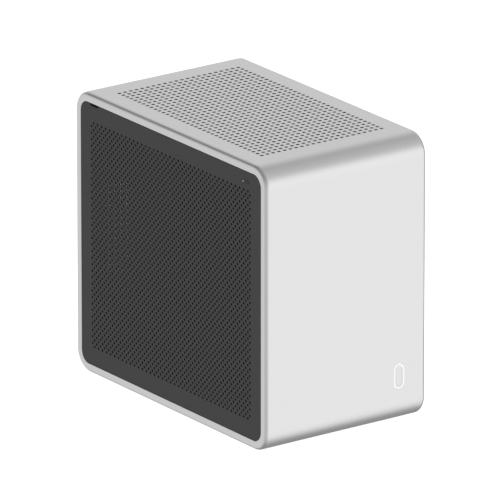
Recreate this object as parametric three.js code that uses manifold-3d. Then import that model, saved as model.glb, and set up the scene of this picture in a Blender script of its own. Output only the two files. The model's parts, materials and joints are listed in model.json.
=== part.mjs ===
// A compact desktop computer tower: a one-piece aluminium sleeve with rounded corners, dark pull-off
// side panels, a lit power button low on the front, and a mini-ITX computer inside.
// Millimetres, +Z up. The front faces -Y, the dark panels face -X and +X, and the origin lies on the
// floor under the middle of the sleeve. Pieces that touch keep the small gap SEAT between their meshes.

import * as THREE from "three";
import { mergeVertices } from "three/addons/utils/BufferGeometryUtils.js";
import Module from "manifold-3d";

const wasm = await Module();
wasm.setup();

// ---------------------------------------------------------------- driving dimensions

const SEAT = 0.3; // gap between the meshes of two pieces that touch
const SHEET = 1.2; // steel sheet of the inner chassis

const SLEEVE = {
  width: 168.5, depth: 283, height: 255.4, // across X, Y and Z
  cornerRadius: 18.8, edgeFillet: 2.8,
  wall: 2, rimWidth: 8.2, rimThickness: 2.5,
};
const FOOT = { height: 4, radius: 10, insetX: 29, insetY: 37 };
const PANEL = { thickness: 1.5, gap: 0.4, recess: 0.3, notchLength: 12.4, notchDepth: 1.8, notchInset: 28.3 };
const STUD = { inset: 14.2, shaftRadius: 1.5, ballRadius: 2.2, length: 9, holeRadius: 3 };
const FRAME = { border: 20.5, lip: 9, cornerRadius: 1.5 };
const REAR_WINDOW = { sideMargin: 12.2, endMargin: 1 };

const BUTTON = {
  width: 11.1, height: 22.9, fromRight: 28, aboveBase: 42.8,
  ringWall: 1.5, gap: 0.25, depth: 7, softEdge: 0.35,
};
const BUTTON_HOUSING = { around: 6, depth: 12, wall: 1.8 }; // "around": how far it reaches past the button
const SWITCH_BOARD = { thickness: 1.4, plunger: 2, clearance: 1.3, wireDrop: 9, wireRadius: 1.6 };

const BOARD = { size: 170, thickness: 1.6, behind: 6.5, edgeGap: 2, aboveBase: 49 };
const BOARD_HOLE = { fromFront: 7.2, fromRear: 10.2, fromEnd: 6.2, radius: 1.9 };
const TRAY = { fromRight: 17, frontGap: 17.5, endMargin: 17.5, flangeInset: 5, window: 84 };
const IO_SHIELD = { width: 44.45, height: 158.75, aboveBoard: 6.75, lap: 2.6 };
const PORT_REACH = 1.0; // how far ports stand out past the rear panel's outer face

const SOCKET = { centreFromRear: 78, centreFromBottom: 98, width: 52, height: 60, thickness: 4.7 };
const CPU = { width: 45, height: 37, thickness: 6.4 };
const COLDPLATE = { size: 40, thickness: 10 };
const HEATPIPE = { radius: 3, count: 4, pitch: 10, rise: 37.5, reach: 36, bend: 13, clearance: 1.2 };
const FINS = { size: 110, core: 5, height: 23.5, count: 22, thickness: 1 };

const FAN = {
  size: 120, thickness: 15, cornerRadius: 7, rim: 3.5, tipGap: 1.3, hubRadius: 20, blades: 9,
  motorPlate: 2, screwInset: 7.5, screwRadius: 2.15, besideNext: 3,
};
const PSU = { width: 125, depth: 63.5, height: 100, wall: 1, frontGap: 1.5, aboveBase: 88, boreMargin: 5 };
const PSU_FAN = { tipGap: 2, hubRadius: 16, height: 9.5, blades: 11 };
const PSU_BRACKET = { behind: 4.5, hang: 25, endEdge: 5.7, sideEdge: 6.5 };
const LEAD_PLUG = { width: 20, depth: 15, fromMiddle: 30, rise: 24, insert: 12 };

const SLOT_PITCH = 20.32;
const CARD = {
  length: 224, reach: 103.2, thickness: 1.6, aboveBoardEdge: 10, rearGap: 3,
  shroudDepth: 30.2, shroudWall: 1.6, boreMargin: 8.75, fins: 24, finThickness: 1.4,
};
const CARD_FAN = { tipGap: 1.5, hubRadius: 15, height: 7.2, blades: 11, frontGap: 0.8 };
const BRACKET = { // the card's two-slot rear bracket and the ledge it is screwed to
  below: 36, above: 3, tabGap: 6.5, tabDepth: 18, pastSlot: 11, inset: 1.5,
  portWidth: 18.4, portHeight: 8, portPitch: 22, firstPort: 27, portWall: 1.1,
};
const SLOT = { below: 6.5, height: 14 }; // an opening in the rear panel, measured from the card's board
const DIMM = {
  length: 134, width: 6.2, height: 7.2, pitch: 9.7, fromFront: 15.5, fromTop: 13,
  moduleRise: 26, spreader: 5.2,
};
const LATCH = { height: 5, reach: 12, width: 5.4 };
const PCIE = { length: 89, width: 7.4, height: 11, fromRear: 45.5, groove: 2.4 };
const ATX_PLUG = { width: 9, length: 52, reach: 24.6, fromFront: 1.5, aboveBoardEdge: 45 };
const INLET = {
  width: 36, height: 54, fromLeft: 18.3, belowTop: 27.4, flange: 1.5, flangeLap: 5,
  bodyDepth: 21, socketDepth: 16, socketWidth: 24, socketHeight: 17, pinDrop: 17.5,
};
const ROCKER = {
  width: 11.4, height: 16.5, tilt: 8, pivotDepth: 5.2,
  wellDepth: 11.5, wellSide: 0.5, wellEnd: 1.25,
};
const THUMB_SCREW = { shaftRadius: 1.8, headRadius: 5, headLength: 5, fromRear: 13.5 };

// ---------------------------------------------------------------- planes worked out from them

const halfWidth = SLEEVE.width / 2;
const halfDepth = SLEEVE.depth / 2;
const halfHeight = SLEEVE.height / 2;
const baseZ = FOOT.height;
const topZ = baseZ + SLEEVE.height;
const midZ = baseZ + halfHeight;
const innerFront = -halfDepth + SLEEVE.wall;
const innerRear = halfDepth - SLEEVE.wall;
const innerTop = topZ - SLEEVE.wall;
const frameX = halfWidth - SLEEVE.rimThickness - SEAT; // outer face of a side frame
const rearPanelY = innerRear - SEAT; // outer face of the rear panel
const trayX = halfWidth - TRAY.fromRight; // outer face of the motherboard tray
const boardX = trayX - SHEET - BOARD.behind; // back face of the motherboard
const boardFaceX = boardX - BOARD.thickness;
const boardRear = rearPanelY - SHEET - BOARD.edgeGap;
const boardFront = boardRear - BOARD.size;
const boardBottom = baseZ + BOARD.aboveBase;
const boardTop = boardBottom + BOARD.size;
const onBoard = boardFaceX - SEAT; // where pieces on the board start
const socketY = boardRear - SOCKET.centreFromRear;
const socketZ = boardBottom + SOCKET.centreFromBottom;
const cardZ = boardBottom + CARD.aboveBoardEdge; // middle of the graphics card's board
const cardRear = boardRear - CARD.rearGap;
const cardFront = cardRear - CARD.length;
const cardRight = onBoard - PCIE.height - SEAT; // edge of the card along the slot
const cardLeft = cardRight - CARD.reach;
const bracketY = boardRear - BRACKET.inset; // outer face of the card's bracket
const ledgeX = cardLeft - BRACKET.tabGap; // face of the ledge that the bracket's tab rests on
const psuFront = innerFront + PSU.frontGap;
const psuRear = psuFront + PSU.depth;
const psuBottom = baseZ + PSU.aboveBase;
const psuTop = psuBottom + PSU.height;
const fanTopZ = innerTop - SHEET - 2 * SEAT; // top face of the case fans
const fanPitch = FAN.size + FAN.besideNext; // between the two fans under the top vent
const lipX = frameX - FRAME.lip - SEAT; // how far pieces between the side frames reach
const ioTop = boardTop + IO_SHIELD.aboveBoard;
const ioRight = boardFaceX + IO_SHIELD.lap;
const buttonX = halfWidth - BUTTON.fromRight;
const buttonZ = baseZ + BUTTON.aboveBase;
const inletX = -halfWidth + INLET.fromLeft + INLET.width / 2;
const inletTop = topZ - INLET.belowTop;

// ---------------------------------------------------------------- materials

const material = (color, roughness, metalness) => new THREE.MeshStandardMaterial(
  { color, roughness, metalness });
const silver = material(0xd6d7d8, 0.38, 0.85); // bead-blasted anodised aluminium
const charcoal = material(0x3c3c3d, 0.6, 0.4); // powder-coated sheet
const steel = material(0x2b2c2e, 0.55, 0.6); // coated chassis sheet
const zinc = material(0xb4b7ba, 0.4, 0.9);
const blackPlastic = material(0x17181a, 0.5, 0);
const greyPlastic = material(0x55585c, 0.5, 0);
const whiteLight = material(0xffffff, 0.3, 0);
const circuit = material(0x10231c, 0.5, 0.1);
const copper = material(0xb87046, 0.35, 1);
const rubber = material(0x1b1b1c, 0.9, 0);
const cable = material(0x141415, 0.8, 0);

// ---------------------------------------------------------------- solids and booleans

const tower = new THREE.Group();
tower.name = "desktop_tower";

// A three.js geometry as a manifold-3d solid.
function solid(geometry) {
  const bare = geometry.clone();
  bare.deleteAttribute("normal");
  bare.deleteAttribute("uv");
  const merged = mergeVertices(bare, 1e-4);
  return new wasm.Manifold(new wasm.Mesh({
    numProp: 3,
    vertProperties: merged.attributes.position.array,
    triVerts: new Uint32Array(merged.index.array),
  }));
}

// A solid as a named mesh, added to a group (the tower itself unless another is given).
function addPiece(name, shape, look, group = tower) {
  const { numProp, numVert, vertProperties, triVerts } = shape.getMesh();
  const position = new Float32Array(numVert * 3);
  for (let i = 0; i < numVert; i++) {
    position.set(vertProperties.subarray(i * numProp, i * numProp + 3), i * 3);
  }
  const geometry = new THREE.BufferGeometry();
  geometry.setAttribute("position", new THREE.BufferAttribute(position, 3));
  geometry.setIndex(new THREE.BufferAttribute(new Uint32Array(triVerts), 1));
  geometry.computeVertexNormals();
  const mesh = new THREE.Mesh(geometry, look);
  mesh.name = name;
  group.add(mesh);
  return mesh;
}

const joined = (first, ...others) => others.reduce((whole, piece) => whole.add(piece), first);
const cut = (first, ...others) => others.reduce((whole, piece) => whole.subtract(piece), first);

// A box between two corners, given as [low, high] along each axis.
function box([x0, x1], [y0, y1], [z0, z1]) {
  const geometry = new THREE.BoxGeometry(x1 - x0, y1 - y0, z1 - z0);
  return solid(geometry.translate((x0 + x1) / 2, (y0 + y1) / 2, (z0 + z1) / 2));
}

const around = (middle, size) => [middle - size / 2, middle + size / 2];

// Outline of a rectangle with round corners, centred on the origin. It is a stadium when the radius is
// half a side.
function roundedRectangle(width, height, radius, steps = 7) {
  const points = [];
  const corners = [[1, 1], [-1, 1], [-1, -1], [1, -1]];
  corners.forEach(([sideU, sideV], corner) => {
    for (let step = 0; step <= steps; step++) {
      const angle = ((corner + step / steps) * Math.PI) / 2;
      const u = sideU * (width / 2 - radius) + radius * Math.cos(angle);
      const v = sideV * (height / 2 - radius) + radius * Math.sin(angle);
      const last = points[points.length - 1];
      if (!last || Math.hypot(last.x - u, last.y - v) > 1e-3) points.push(new THREE.Vector2(u, v));
    }
  });
  if (points[0].distanceTo(points[points.length - 1]) < 1e-3) points.pop();
  return points;
}

function circle(radius, sides = 28) {
  return Array.from({ length: sides }, (_, i) => {
    const angle = (i / sides) * 2 * Math.PI;
    return new THREE.Vector2(radius * Math.cos(angle), radius * Math.sin(angle));
  });
}

// Turns an extrusion along +Z so that it runs along another axis: its outline is then read as (y, z) for "x",
// (x, z) for "y" and (x, y) for "z".
const basis = (u, v, w) => new THREE.Matrix4().makeBasis(
  new THREE.Vector3(...u), new THREE.Vector3(...v), new THREE.Vector3(...w));
const turned = {
  x: basis([0, 1, 0], [0, 0, 1], [1, 0, 0]),
  y: basis([1, 0, 0], [0, 0, 1], [0, -1, 0]),
  z: basis([1, 0, 0], [0, 1, 0], [0, 0, 1]),
};

// An outline carried along an axis from one place to another, with its middle at (u, v). A fillet rounds
// both ends.
function prism(outline, axis, [from, to], u = 0, v = 0, fillet = 0, filletSteps = 3) {
  const geometry = new THREE.ExtrudeGeometry(new THREE.Shape(outline), {
    depth: to - from - 2 * fillet,
    bevelEnabled: fillet > 0, bevelThickness: fillet, bevelSize: fillet, bevelSegments: filletSteps,
  });
  const start = axis === "y" ? to - fillet : from + fillet;
  const offset = { x: [start, u, v], y: [u, start, v], z: [u, v, start] }[axis];
  return solid(geometry.applyMatrix4(turned[axis]).translate(...offset));
}

// A round bar along a smooth curve through the points.
function bar(points, radius, sides, steps) {
  const path = new THREE.CatmullRomCurve3(points.map((p) => new THREE.Vector3(...p)), false, "centripetal");
  const outline = new THREE.Shape(circle(radius, sides));
  return solid(new THREE.ExtrudeGeometry(outline, { steps, extrudePath: path }));
}

// ---------------------------------------------------------------- sleeve, frames and panels

const sleeveOutline = (inset, steps = 9) => roundedRectangle(
  SLEEVE.depth - 2 * inset, SLEEVE.height - 2 * inset, SLEEVE.cornerRadius - inset, steps);

function makeSleeve() {
  const body = prism(
    sleeveOutline(SLEEVE.edgeFillet), "x", [-halfWidth, halfWidth], 0, midZ, SLEEVE.edgeFillet);
  const inside = halfWidth - SLEEVE.rimThickness;
  const cavity = prism(sleeveOutline(SLEEVE.wall), "x", [-inside, inside], 0, midZ);
  const sideOpenings = prism(sleeveOutline(SLEEVE.rimWidth), "x", [-halfWidth - 1, halfWidth + 1], 0, midZ);
  const windowHalf = halfWidth - REAR_WINDOW.sideMargin;
  const windowInset = SLEEVE.cornerRadius + REAR_WINDOW.endMargin;
  const rearWindow = box(
    [-windowHalf, windowHalf], [innerRear - 1, halfDepth + 1], [baseZ + windowInset, topZ - windowInset]);
  const gap = 2 * SEAT;
  const buttonHole = prism(
    roundedRectangle(BUTTON.width + gap, BUTTON.height + gap, (BUTTON.width + gap) / 2),
    "y", [-halfDepth - 1, innerFront + 1], buttonX, buttonZ);
  addPiece("outer_shell", cut(body, cavity, sideOpenings, rearWindow, buttonHole), silver);
}

// The four corner places of the panel studs, as (y, z).
const studPlaces = [-1, 1].flatMap((front) => [-1, 1].map((up) => [
  front * (halfDepth - STUD.inset), midZ + up * (halfHeight - STUD.inset)]));

// A steel ring behind the sleeve's rim, with a stiffening lip round its opening and a hole for each stud.
function makeSideFrame(name, side) {
  const span = (near, far) => (side > 0 ? [near, far] : [-far, -near]);
  const fit = SLEEVE.wall + SEAT;
  const opening = (inset) => roundedRectangle(
    SLEEVE.depth - 2 * (FRAME.border + inset), SLEEVE.height - 2 * (FRAME.border + inset),
    FRAME.cornerRadius - inset, 4);
  const plate = prism(sleeveOutline(fit), "x", span(frameX - SHEET, frameX), 0, midZ);
  const lip = prism(opening(0), "x", span(frameX - FRAME.lip, frameX - SHEET / 2), 0, midZ);
  const hole = prism(opening(SHEET), "x", span(frameX - FRAME.lip - 1, frameX + 1), 0, midZ);
  const studHoles = studPlaces.map(([y, z]) => prism(
    circle(STUD.holeRadius, 14), "x", span(frameX - SHEET - 1, frameX + 1), y, z));
  addPiece(name, cut(joined(plate, lip), hole, ...studHoles), steel);
}

// A side panel with a finger notch in its top edge, and the four ball studs swaged into its back.
function makeSidePanel(name, side) {
  const span = (near, far) => (side > 0 ? [near, far] : [-far, -near]);
  const face = halfWidth - PANEL.recess;
  const back = face - PANEL.thickness;
  const inset = SLEEVE.rimWidth + PANEL.gap;
  const sheet = prism(sleeveOutline(inset, 7), "x", span(back, face), 0, midZ);
  const edgeZ = topZ - inset;
  const notch = box(
    span(back - 1, face + 1), around(halfDepth - PANEL.notchInset, PANEL.notchLength),
    [edgeZ - PANEL.notchDepth, edgeZ + 1]);
  const studEnd = back - STUD.length;
  const studs = studPlaces.flatMap(([y, z]) => [
    prism(circle(STUD.shaftRadius, 8), "x", span(studEnd, back + PANEL.thickness / 2), y, z),
    prism(circle(STUD.ballRadius, 8), "x", span(studEnd, studEnd + STUD.ballRadius * 1.5), y, z),
  ]);
  addPiece(name, joined(cut(sheet, notch), ...studs), charcoal);
}

function makeFoot(name, sideX, sideY) {
  const height = FOOT.height - SEAT;
  const profile = [[0, 0], [FOOT.radius - 1, 0], [FOOT.radius, 1], [FOOT.radius, height], [0, height]];
  const geometry = new THREE.LatheGeometry(profile.map(([r, z]) => new THREE.Vector2(r, z)), 24);
  geometry.rotateX(Math.PI / 2);
  const foot = addPiece(name, solid(geometry), rubber);
  foot.position.set(sideX * (halfWidth - FOOT.insetX), sideY * (halfDepth - FOOT.insetY), 0);
}

// What the rear panel and the card's bracket share: the heights of the two slots, and the screws that hold
// the tab.
const slotMiddles = [0, 1].map((i) => cardZ - SLOT.below - i * SLOT_PITCH);
const bracketZ = [cardZ - BRACKET.below, cardZ + BRACKET.above];
const screwY = rearPanelY - THUMB_SCREW.fromRear;
const screwClearance = circle(THUMB_SCREW.shaftRadius + 0.4, 10);

// The steel panel that shows through the sleeve's rear window, with cut-outs and the ledge for the
// card's screws.
function makeRearPanel() {
  const thick = [rearPanelY - SHEET, rearPanelY];
  const through = [rearPanelY - SHEET - 1, rearPanelY + 1];
  const endInset = SLEEVE.cornerRadius - SLEEVE.wall;
  const half = frameX - SHEET - SEAT;
  const plate = box([-half, half], thick, [baseZ + endInset, topZ - endInset]);
  const ioHole = box([ioRight - IO_SHIELD.width, ioRight], through, [ioTop - IO_SHIELD.height, ioTop]);
  const slots = slotMiddles.map((z) => box(
    [ledgeX + 2 * (SEAT + SHEET), cardRight + BRACKET.pastSlot - 2], through, around(z, SLOT.height)));
  const lap = INLET.flangeLap - SEAT;
  const inletHole = box(
    around(inletX, INLET.width - 2 * lap), through, [inletTop - INLET.height + lap, inletTop - lap]);
  const ledge = box(
    [ledgeX - SHEET, ledgeX], [rearPanelY - BRACKET.tabDepth, rearPanelY - SHEET / 2], bracketZ);
  const screwHoles = slotMiddles.map((z) => prism(
    screwClearance, "x", [ledgeX - SHEET - 1, ledgeX + 1], screwY, z));
  addPiece("rear_panel", cut(joined(plate, ledge), ioHole, ...slots, inletHole, ...screwHoles), steel);
}

// The sheet that carries the motherboard, with folded flanges above and below, four stand-offs and a window
// behind the socket.
function makeTray() {
  const bottom = baseZ + TRAY.endMargin;
  const top = topZ - TRAY.endMargin;
  const front = -halfDepth + TRAY.frontGap;
  const rear = rearPanelY - SHEET - SEAT;
  const plate = box([trayX - SHEET, trayX], [front, rear], [bottom, top]);
  const flangeX = [trayX - SHEET, frameX - SHEET - SEAT];
  const flangeY = around(0, SLEEVE.depth - 2 * (FRAME.border + TRAY.flangeInset));
  const flanges = [[bottom, bottom + SHEET], [top - SHEET, top]].map((z) => box(flangeX, flangeY, z));
  const socketWindow = box(
    [trayX - SHEET - 1, trayX + 1], around(socketY, TRAY.window), around(socketZ, TRAY.window));
  const standoffs = boardHoles().map(([y, z]) => prism(
    circle(3, 6), "x", [boardX + SEAT, trayX - SHEET / 2], y, z));
  addPiece("motherboard_tray", cut(joined(plate, ...flanges, ...standoffs), socketWindow), steel);
}

function makeTopFanBracket() {
  const z = [fanTopZ + SEAT, fanTopZ + SEAT + SHEET];
  const plate = box([-lipX, lipX], around(0, fanPitch + FAN.size + 2), z);
  const bores = [-1, 1].map((end) => prism(
    circle(FAN.size / 2 - FAN.rim + 0.5, 32), "z", [z[0] - 1, z[1] + 1], 0, (end * fanPitch) / 2));
  addPiece("top_fan_bracket", cut(plate, ...bores), steel);
}

function makePsuBracket() {
  const right = trayX - SHEET - SEAT;
  const y = [innerFront + SEAT, psuRear + PSU_BRACKET.behind];
  const z = [psuTop + SEAT, psuTop + SEAT + SHEET];
  const plate = box([-lipX, right], y, z);
  const window = box(
    around(0, PSU.width - 2 * PSU_BRACKET.sideEdge),
    [psuFront + PSU_BRACKET.endEdge, psuRear - PSU_BRACKET.endEdge], [z[0] - 1, z[1] + 1]);
  const sides = [[-lipX, -lipX + SHEET], [right - SHEET, right]].map((x) => box(
    x, y, [z[0] - PSU_BRACKET.hang, z[1]]));
  addPiece("psu_bracket", cut(joined(plate, ...sides), window), steel);
}

// ---------------------------------------------------------------- power button

const stadium = (inset) => roundedRectangle(
  BUTTON.width - 2 * inset, BUTTON.height - 2 * inset, BUTTON.width / 2 - inset);

// Back face of the switch board, which the button's travel and the switch set.
const plungerTip = -halfDepth + BUTTON.depth + SWITCH_BOARD.clearance;
const switchBack = plungerTip + SWITCH_BOARD.plunger + SWITCH_BOARD.thickness;

function makeButton() {
  const inset = BUTTON.ringWall + BUTTON.gap + BUTTON.softEdge;
  const buttonY = [-halfDepth + 0.1, -halfDepth + BUTTON.depth];
  addPiece("power_button", prism(stadium(inset), "y", buttonY, buttonX, buttonZ, BUTTON.softEdge, 1), silver);

  const ringDepth = BUTTON.depth - 2;
  const ring = cut(
    prism(stadium(0), "y", [-halfDepth, -halfDepth + ringDepth], buttonX, buttonZ),
    prism(stadium(BUTTON.ringWall), "y", [-halfDepth - 1, -halfDepth + ringDepth + 1], buttonX, buttonZ));
  addPiece("button_light_ring", ring, whiteLight);

  const wall = BUTTON_HOUSING.wall;
  const housingY = [innerFront + SEAT, innerFront + SEAT + BUTTON_HOUSING.depth];
  const room = (extra) => [
    around(buttonX, BUTTON.width + 2 * (BUTTON_HOUSING.around - extra)),
    around(buttonZ, BUTTON.height + 2 * (BUTTON_HOUSING.around - extra))];
  const housing = cut(
    box(room(0)[0], housingY, room(0)[1]),
    box(room(wall)[0], [housingY[0] - 1, housingY[1] - wall], room(wall)[1]),
    prism(circle(SWITCH_BOARD.wireRadius + 1, 12), "y", [housingY[1] - 4, housingY[1] + 1],
      buttonX, buttonZ - SWITCH_BOARD.wireDrop));
  addPiece("button_housing", housing, blackPlastic);

  const boardY = [switchBack - SWITCH_BOARD.thickness, switchBack];
  const [boardX2, boardZ2] = room(wall + 0.5);
  addPiece("switch_board", joined(
    box(boardX2, boardY, boardZ2),
    box(around(buttonX, 6), [plungerTip + 0.8, boardY[0] + 0.2], around(buttonZ, 6)),
    box(around(buttonX, 3), [plungerTip, plungerTip + 1], around(buttonZ, 3))), circuit);
}

// ---------------------------------------------------------------- motherboard and what sits on it

function boardHoles() {
  return [boardFront + BOARD_HOLE.fromFront, boardRear - BOARD_HOLE.fromRear].flatMap((y) => [
    [y, boardBottom + BOARD_HOLE.fromEnd], [y, boardTop - BOARD_HOLE.fromEnd]]);
}

// A block on the board, given by its height above the board and its ranges along Y and Z.
const onTheBoard = (height, y, z) => box([onBoard - height, onBoard], y, z);

function makeMotherboard() {
  const plate = box([boardFaceX, boardX], [boardFront, boardRear], [boardBottom, boardTop]);
  const holes = boardHoles().map(([y, z]) => prism(
    circle(BOARD_HOLE.radius, 8), "x", [boardFaceX - 1, boardX + 1], y, z));
  addPiece("motherboard", cut(plate, ...holes), circuit);
  makeIoPorts();
  makeProcessor();
  makeMemory();

  const slotY = [boardRear - PCIE.fromRear - PCIE.length, boardRear - PCIE.fromRear];
  const groove = box(
    [onBoard - PCIE.height - 1, onBoard - 3], [slotY[0] + 2, slotY[1] - 2], around(cardZ, PCIE.groove));
  addPiece("pcie_slot", cut(onTheBoard(PCIE.height, slotY, around(cardZ, PCIE.width)), groove), blackPlastic);
  const ssdZ = [boardBottom + 19, boardBottom + 42];
  addPiece("ssd_heatsink", onTheBoard(8.4, around(socketY - 7, 82), ssdZ), zinc);
  addPiece("vrm_heatsink", combBlock(
    [onBoard - 21, onBoard], around(socketY + 6, 88), [boardTop - 10.5, boardTop - 1], 8), zinc);
}

// A block with grooves across Y cut into its outer (-X) side.
function combBlock(x, y, z, grooves) {
  const pitch = (y[1] - y[0]) / (grooves + 0.5);
  const depth = (x[1] - x[0]) * 0.6;
  const slots = Array.from({ length: grooves }, (_, i) => box(
    [x[0] - 1, x[0] + depth], around(y[0] + (i + 0.75) * pitch, pitch * 0.45), [z[0] - 1, z[1] + 1]));
  return cut(box(x, y, z), ...slots);
}

// Each port block stands on the board at the rear edge, reaches through the shield, and has open sockets,
// given as [along the block, above the board, width, height].
const PORTS = {
  display_ports: {
    bottom: 31, width: 36, height: 11.4,
    sockets: [[9, 5.4, 14.6, 5.2], [26.5, 5.4, 16.4, 5.2]],
  },
  usb_ports: {
    bottom: 74, width: 47, height: 17.4,
    sockets: [8.5, 23.5, 38.5].flatMap((along) => [[along, 4.8, 13.2, 5.4], [along, 12.8, 13.2, 5.4]]),
  },
  network_jack: { bottom: 125, width: 16.4, height: 14.4, sockets: [[8.2, 6.9, 12, 8.6]] },
  audio_jacks: {
    bottom: 145.5, width: 13, height: 33,
    sockets: [5.5, 16.5, 27.5].map((up) => [6.5, up, 3.8, 3.8]),
  },
};
const PORT_DEPTH = 22;
const portY = [boardRear - PORT_DEPTH + 4, rearPanelY + PORT_REACH];

function makeIoPorts() {
  const shieldZ = [ioTop - IO_SHIELD.height + SEAT, ioTop - SEAT];
  const shieldX = [ioRight - IO_SHIELD.width + SEAT, ioRight - SEAT];
  let shield = box(shieldX, [rearPanelY - SHEET + 0.2, rearPanelY], shieldZ);
  for (const [name, port] of Object.entries(PORTS)) {
    const z = [boardBottom + port.bottom, boardBottom + port.bottom + port.width];
    const sockets = port.sockets.map(([along, up, width, height]) => box(
      around(onBoard - up, height), [portY[1] - 12, portY[1] + 1], around(z[0] + along, width)));
    addPiece(name, cut(onTheBoard(port.height, portY, z), ...sockets), zinc);
    shield = shield.subtract(box(
      [onBoard - port.height - SEAT, shieldX[1] - 1], [rearPanelY - SHEET - 1, rearPanelY + 1],
      [z[0] - SEAT, z[1] + SEAT]));
  }
  addPiece("io_shield", shield, zinc);
}

function makeProcessor() {
  const window = box(
    [onBoard - 20, onBoard + 1], around(socketY, CPU.height + 1), around(socketZ, CPU.width + 1));
  const socket = onTheBoard(SOCKET.thickness, around(socketY, SOCKET.width), around(socketZ, SOCKET.height));
  addPiece("cpu_socket", cut(socket, window), zinc);
  addPiece("cpu", onTheBoard(CPU.thickness, around(socketY, CPU.height), around(socketZ, CPU.width)), zinc);

  const plateX = onBoard - CPU.thickness - SEAT;
  const pipeX = plateX - COLDPLATE.thickness / 2;
  const highX = pipeX - HEATPIPE.rise;
  const pipes = Array.from({ length: HEATPIPE.count }, (_, i) => {
    const y = socketY + (i - (HEATPIPE.count - 1) / 2) * HEATPIPE.pitch;
    const way = i % 2 ? 1 : -1; // neighbouring pipes leave the cold plate on opposite sides
    const end = HEATPIPE.reach;
    const bend = HEATPIPE.bend;
    const route = [
      [pipeX, -way * 14], [pipeX, way * (end - bend)], [pipeX - bend * 0.3, way * (end - bend * 0.3)],
      [pipeX - bend, way * end], [highX + bend, way * end], [highX + bend * 0.3, way * (end - bend * 0.3)],
      [highX, way * (end - bend)], [highX, -way * end],
    ];
    return bar(route.map(([x, z]) => [x, y, socketZ + z]), HEATPIPE.radius, 8, 16);
  });
  const block = box(
    [plateX - COLDPLATE.thickness, plateX], around(socketY, COLDPLATE.size), around(socketZ, COLDPLATE.size));
  addPiece("cooler_base", joined(block, ...pipes), copper);

  const coreX = highX - HEATPIPE.radius - HEATPIPE.clearance;
  const y = around(socketY, FINS.size);
  const z = around(socketZ, FINS.size);
  const core = box([coreX - FINS.core, coreX], y, z);
  const pitch = (FINS.size - FINS.thickness) / (FINS.count - 1);
  const finX = [coreX - FINS.core - FINS.height, coreX - FINS.core + 1];
  const fins = Array.from({ length: FINS.count }, (_, i) => box(
    finX, [y[0] + i * pitch, y[0] + i * pitch + FINS.thickness], z));
  addPiece("cooler_fins", joined(core, ...fins), zinc);

  const fanX = coreX - FINS.core - FINS.height - SEAT - FAN.thickness / 2;
  makeFan("cpu_fan", [fanX, socketY, socketZ], [0, -Math.PI / 2, 0]);
}

function makeMemory() {
  const z = [boardTop - DIMM.fromTop - DIMM.length, boardTop - DIMM.fromTop];
  [1, 2].forEach((number) => {
    const y = boardFront + DIMM.fromFront + (number - 1) * DIMM.pitch;
    const groove = box([onBoard - DIMM.height - 1, onBoard - 2.2], around(y, 2), [z[0] + 0.5, z[1] - 0.5]);
    const slot = onTheBoard(DIMM.height, around(y, DIMM.width), z);
    addPiece(`dimm_slot_${number}`, cut(slot, groove), blackPlastic);
    const moduleZ = [z[0] + 1, z[1] - 1];
    const spreaderX = [onBoard - DIMM.height - SEAT - DIMM.moduleRise, onBoard - DIMM.height - SEAT];
    addPiece(`ram_module_${number}`, joined(
      box(spreaderX, around(y, DIMM.spreader), moduleZ),
      box([spreaderX[1] - 1, onBoard - 2.5], around(y, 1.3), moduleZ)), greyPlastic);
    const pivotZ = z[1] + 3.9;
    const latch = new THREE.Group();
    latch.position.set(onBoard - 3.6, y, pivotZ);
    tower.add(latch);
    addPiece(`dimm_latch_${number}`, box(
      [-LATCH.reach + LATCH.height / 2, LATCH.height / 2], around(0, LATCH.width), around(0, LATCH.height)),
      greyPlastic, latch);
  });
}

// ---------------------------------------------------------------- fans

// One blade: a thin plate, its chord turned more steeply near the hub, from inside the hub to the tip.
function bladeSolid(root, tip, height, count, thickness = 1.2) {
  const radial = 2;
  const along = 2;
  const positions = [];
  const index = [];
  const at = (i, j, face) => (face * (radial + 1) + i) * (along + 1) + j;
  for (const face of [0, 1]) {
    for (let i = 0; i <= radial; i++) {
      const radius = root + ((tip - root) * i) / radial;
      const spread = ((2 * Math.PI) / count) * 0.42;
      for (let j = 0; j <= along; j++) {
        const t = j / along - 0.5;
        const angle = t * 2 * spread + (i / radial) * 0.32;
        const rise = -t * height * (1 - (0.25 * i) / radial) + (face - 0.5) * thickness;
        positions.push(radius * Math.cos(angle), radius * Math.sin(angle), rise);
      }
    }
  }
  const quad = (a, b, c, d) => index.push(a, b, c, a, c, d);
  for (let i = 0; i < radial; i++) {
    for (let j = 0; j < along; j++) {
      quad(at(i, j, 1), at(i + 1, j, 1), at(i + 1, j + 1, 1), at(i, j + 1, 1));
      quad(at(i, j, 0), at(i, j + 1, 0), at(i + 1, j + 1, 0), at(i + 1, j, 0));
    }
    quad(at(i, 0, 0), at(i + 1, 0, 0), at(i + 1, 0, 1), at(i, 0, 1));
    quad(at(i, along, 0), at(i, along, 1), at(i + 1, along, 1), at(i + 1, along, 0));
  }
  for (let j = 0; j < along; j++) {
    quad(at(0, j, 0), at(0, j, 1), at(0, j + 1, 1), at(0, j + 1, 0));
    quad(at(radial, j, 0), at(radial, j + 1, 0), at(radial, j + 1, 1), at(radial, j, 1));
  }
  const geometry = new THREE.BufferGeometry();
  geometry.setAttribute("position", new THREE.Float32BufferAttribute(positions, 3));
  geometry.setIndex(index);
  return solid(geometry);
}

// Hub and blades, turning about Z, centred on the origin.
function rotorSolid({ hubRadius, height, blades }, tipRadius) {
  const hub = prism(circle(hubRadius, 20), "z", around(0, height));
  const blade = bladeSolid(hubRadius - 2, tipRadius, height - 2, blades);
  const turns = Array.from({ length: blades }, (_, i) => blade.rotate([0, 0, (i * 360) / blades]));
  return joined(hub, ...turns);
}

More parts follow.
